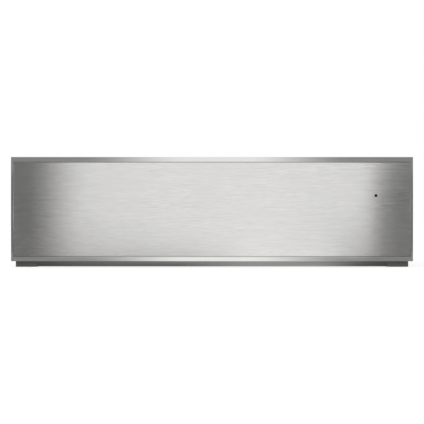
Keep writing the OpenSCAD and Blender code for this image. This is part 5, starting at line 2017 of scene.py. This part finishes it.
@dataclass
class Studio:
    """Camera, light and floor."""

    distance: float = 5.0
    eye_height: float = 0.1031
    seen_width: float = 0.793
    sensor: float = 36.0
    clip: Span = (0.05, 100.0)
    daylight: float = 0.55
    suns: tuple[tuple[str, float, float, Triple], ...] = (
        ("key_sun", 0.95, 50.0, (0.75, -0.35, 0.0)),
        ("back_sun", 0.4, 70.0, (-0.8, 0.4, 0.0)),
    )
    floor_half: float = 14.0
    floor_z: float = -0.0002
    floor_tone: float = 0.86
    floor_glow: float = 1.35
    glow_share: float = 0.5

    def build(self) -> None:
        """Builds the studio."""
        self.camera()
        self.world()
        self.lamps()
        self.floor()
        MirrorCard(self.distance, self.eye_height).build()
        bpy.context.scene.view_settings.view_transform = "Standard"

    def camera(self) -> None:
        """Looks straight at the front."""
        data = bpy.data.cameras.new("camera")
        data.sensor_width = self.sensor
        data.lens = self.sensor * self.distance / self.seen_width
        data.clip_start, data.clip_end = self.clip
        camera = linked("camera", data)
        camera.location = (0.0, FACE_Y - self.distance, self.eye_height)
        camera.rotation_euler = (math.pi / 2, 0.0, 0.0)
        bpy.context.scene.camera = camera

    def seen(self, g: Graph) -> Socket:
        """Tells the rays that see the white surround from those that light the object.

        Args:
            g: the tree of the world or the floor.

        Returns:
            1 for rays from the camera, a mirror or glass, and 0 for the rest.
        """
        path = g.add("ShaderNodeLightPath").outputs
        some = g.math("MAXIMUM", path["Is Camera Ray"], path["Is Glossy Ray"])
        return g.math("MAXIMUM", some, path["Is Transmission Ray"])

    def world(self) -> None:
        """A white surround that gives the object plain soft light."""
        world = bpy.context.scene.world = bpy.data.worlds.new("studio")
        g = emptied(world)
        soft, white = (g.add("ShaderNodeBackground", {"Color": (1.0, 1.0, 1.0, 1.0), "Strength": strength})
                       for strength in (self.daylight, 1.0))
        both = g.add("ShaderNodeMixShader", {0: self.seen(g), 1: soft, 2: white})
        g.add("ShaderNodeOutputWorld", {0: both})

    def lamps(self) -> None:
        """Two wide soft suns, so that the floor is lit evenly."""
        for name, strength, spread, turn in self.suns:
            data = bpy.data.lights.new(name, "SUN")
            data.energy, data.angle = strength, math.radians(spread)
            linked(name, data).rotation_euler = turn

    def floor(self) -> None:
        """A pale floor that shows white and keeps the object's shadow."""
        ends = [(y, self.floor_z) for y in (-self.floor_half, self.floor_half)]
        piece = backdrop("floor", ends, self.floor_half)
        pale = bpy.data.materials.new("pale_floor")
        g = emptied(pale)
        tone, share = (self.floor_tone,) * 3, g.times(self.seen(g), self.glow_share)
        matt = g.add("ShaderNodeBsdfDiffuse", {"Color": (*tone, 1.0)})
        glow = g.add("ShaderNodeEmission", {"Color": (1.0, 1.0, 1.0, 1.0), "Strength": self.floor_glow})
        g.add("ShaderNodeOutputMaterial", {0: g.add("ShaderNodeMixShader", {0: share, 1: matt, 2: glow})})
        piece.data.materials.append(pale)


def main() -> None:
    """Builds the studio and every assembly, and reports each."""
    logging.basicConfig(level=logging.INFO, format="%(name)s: %(message)s")
    Studio().build()
    for assembly in (Front(), DrawerTub(), Fasteners("drawer_fixings"), Runners(), Carcass(),
                     Fasteners("carcass_fixings"), WarmAir(), Controls(), CircuitBoard(), Supply(),
                     PushLatch()):
        log.info("building %s", type(assembly).__name__)
        assembly.build()


if __name__ == "__main__":
    main()
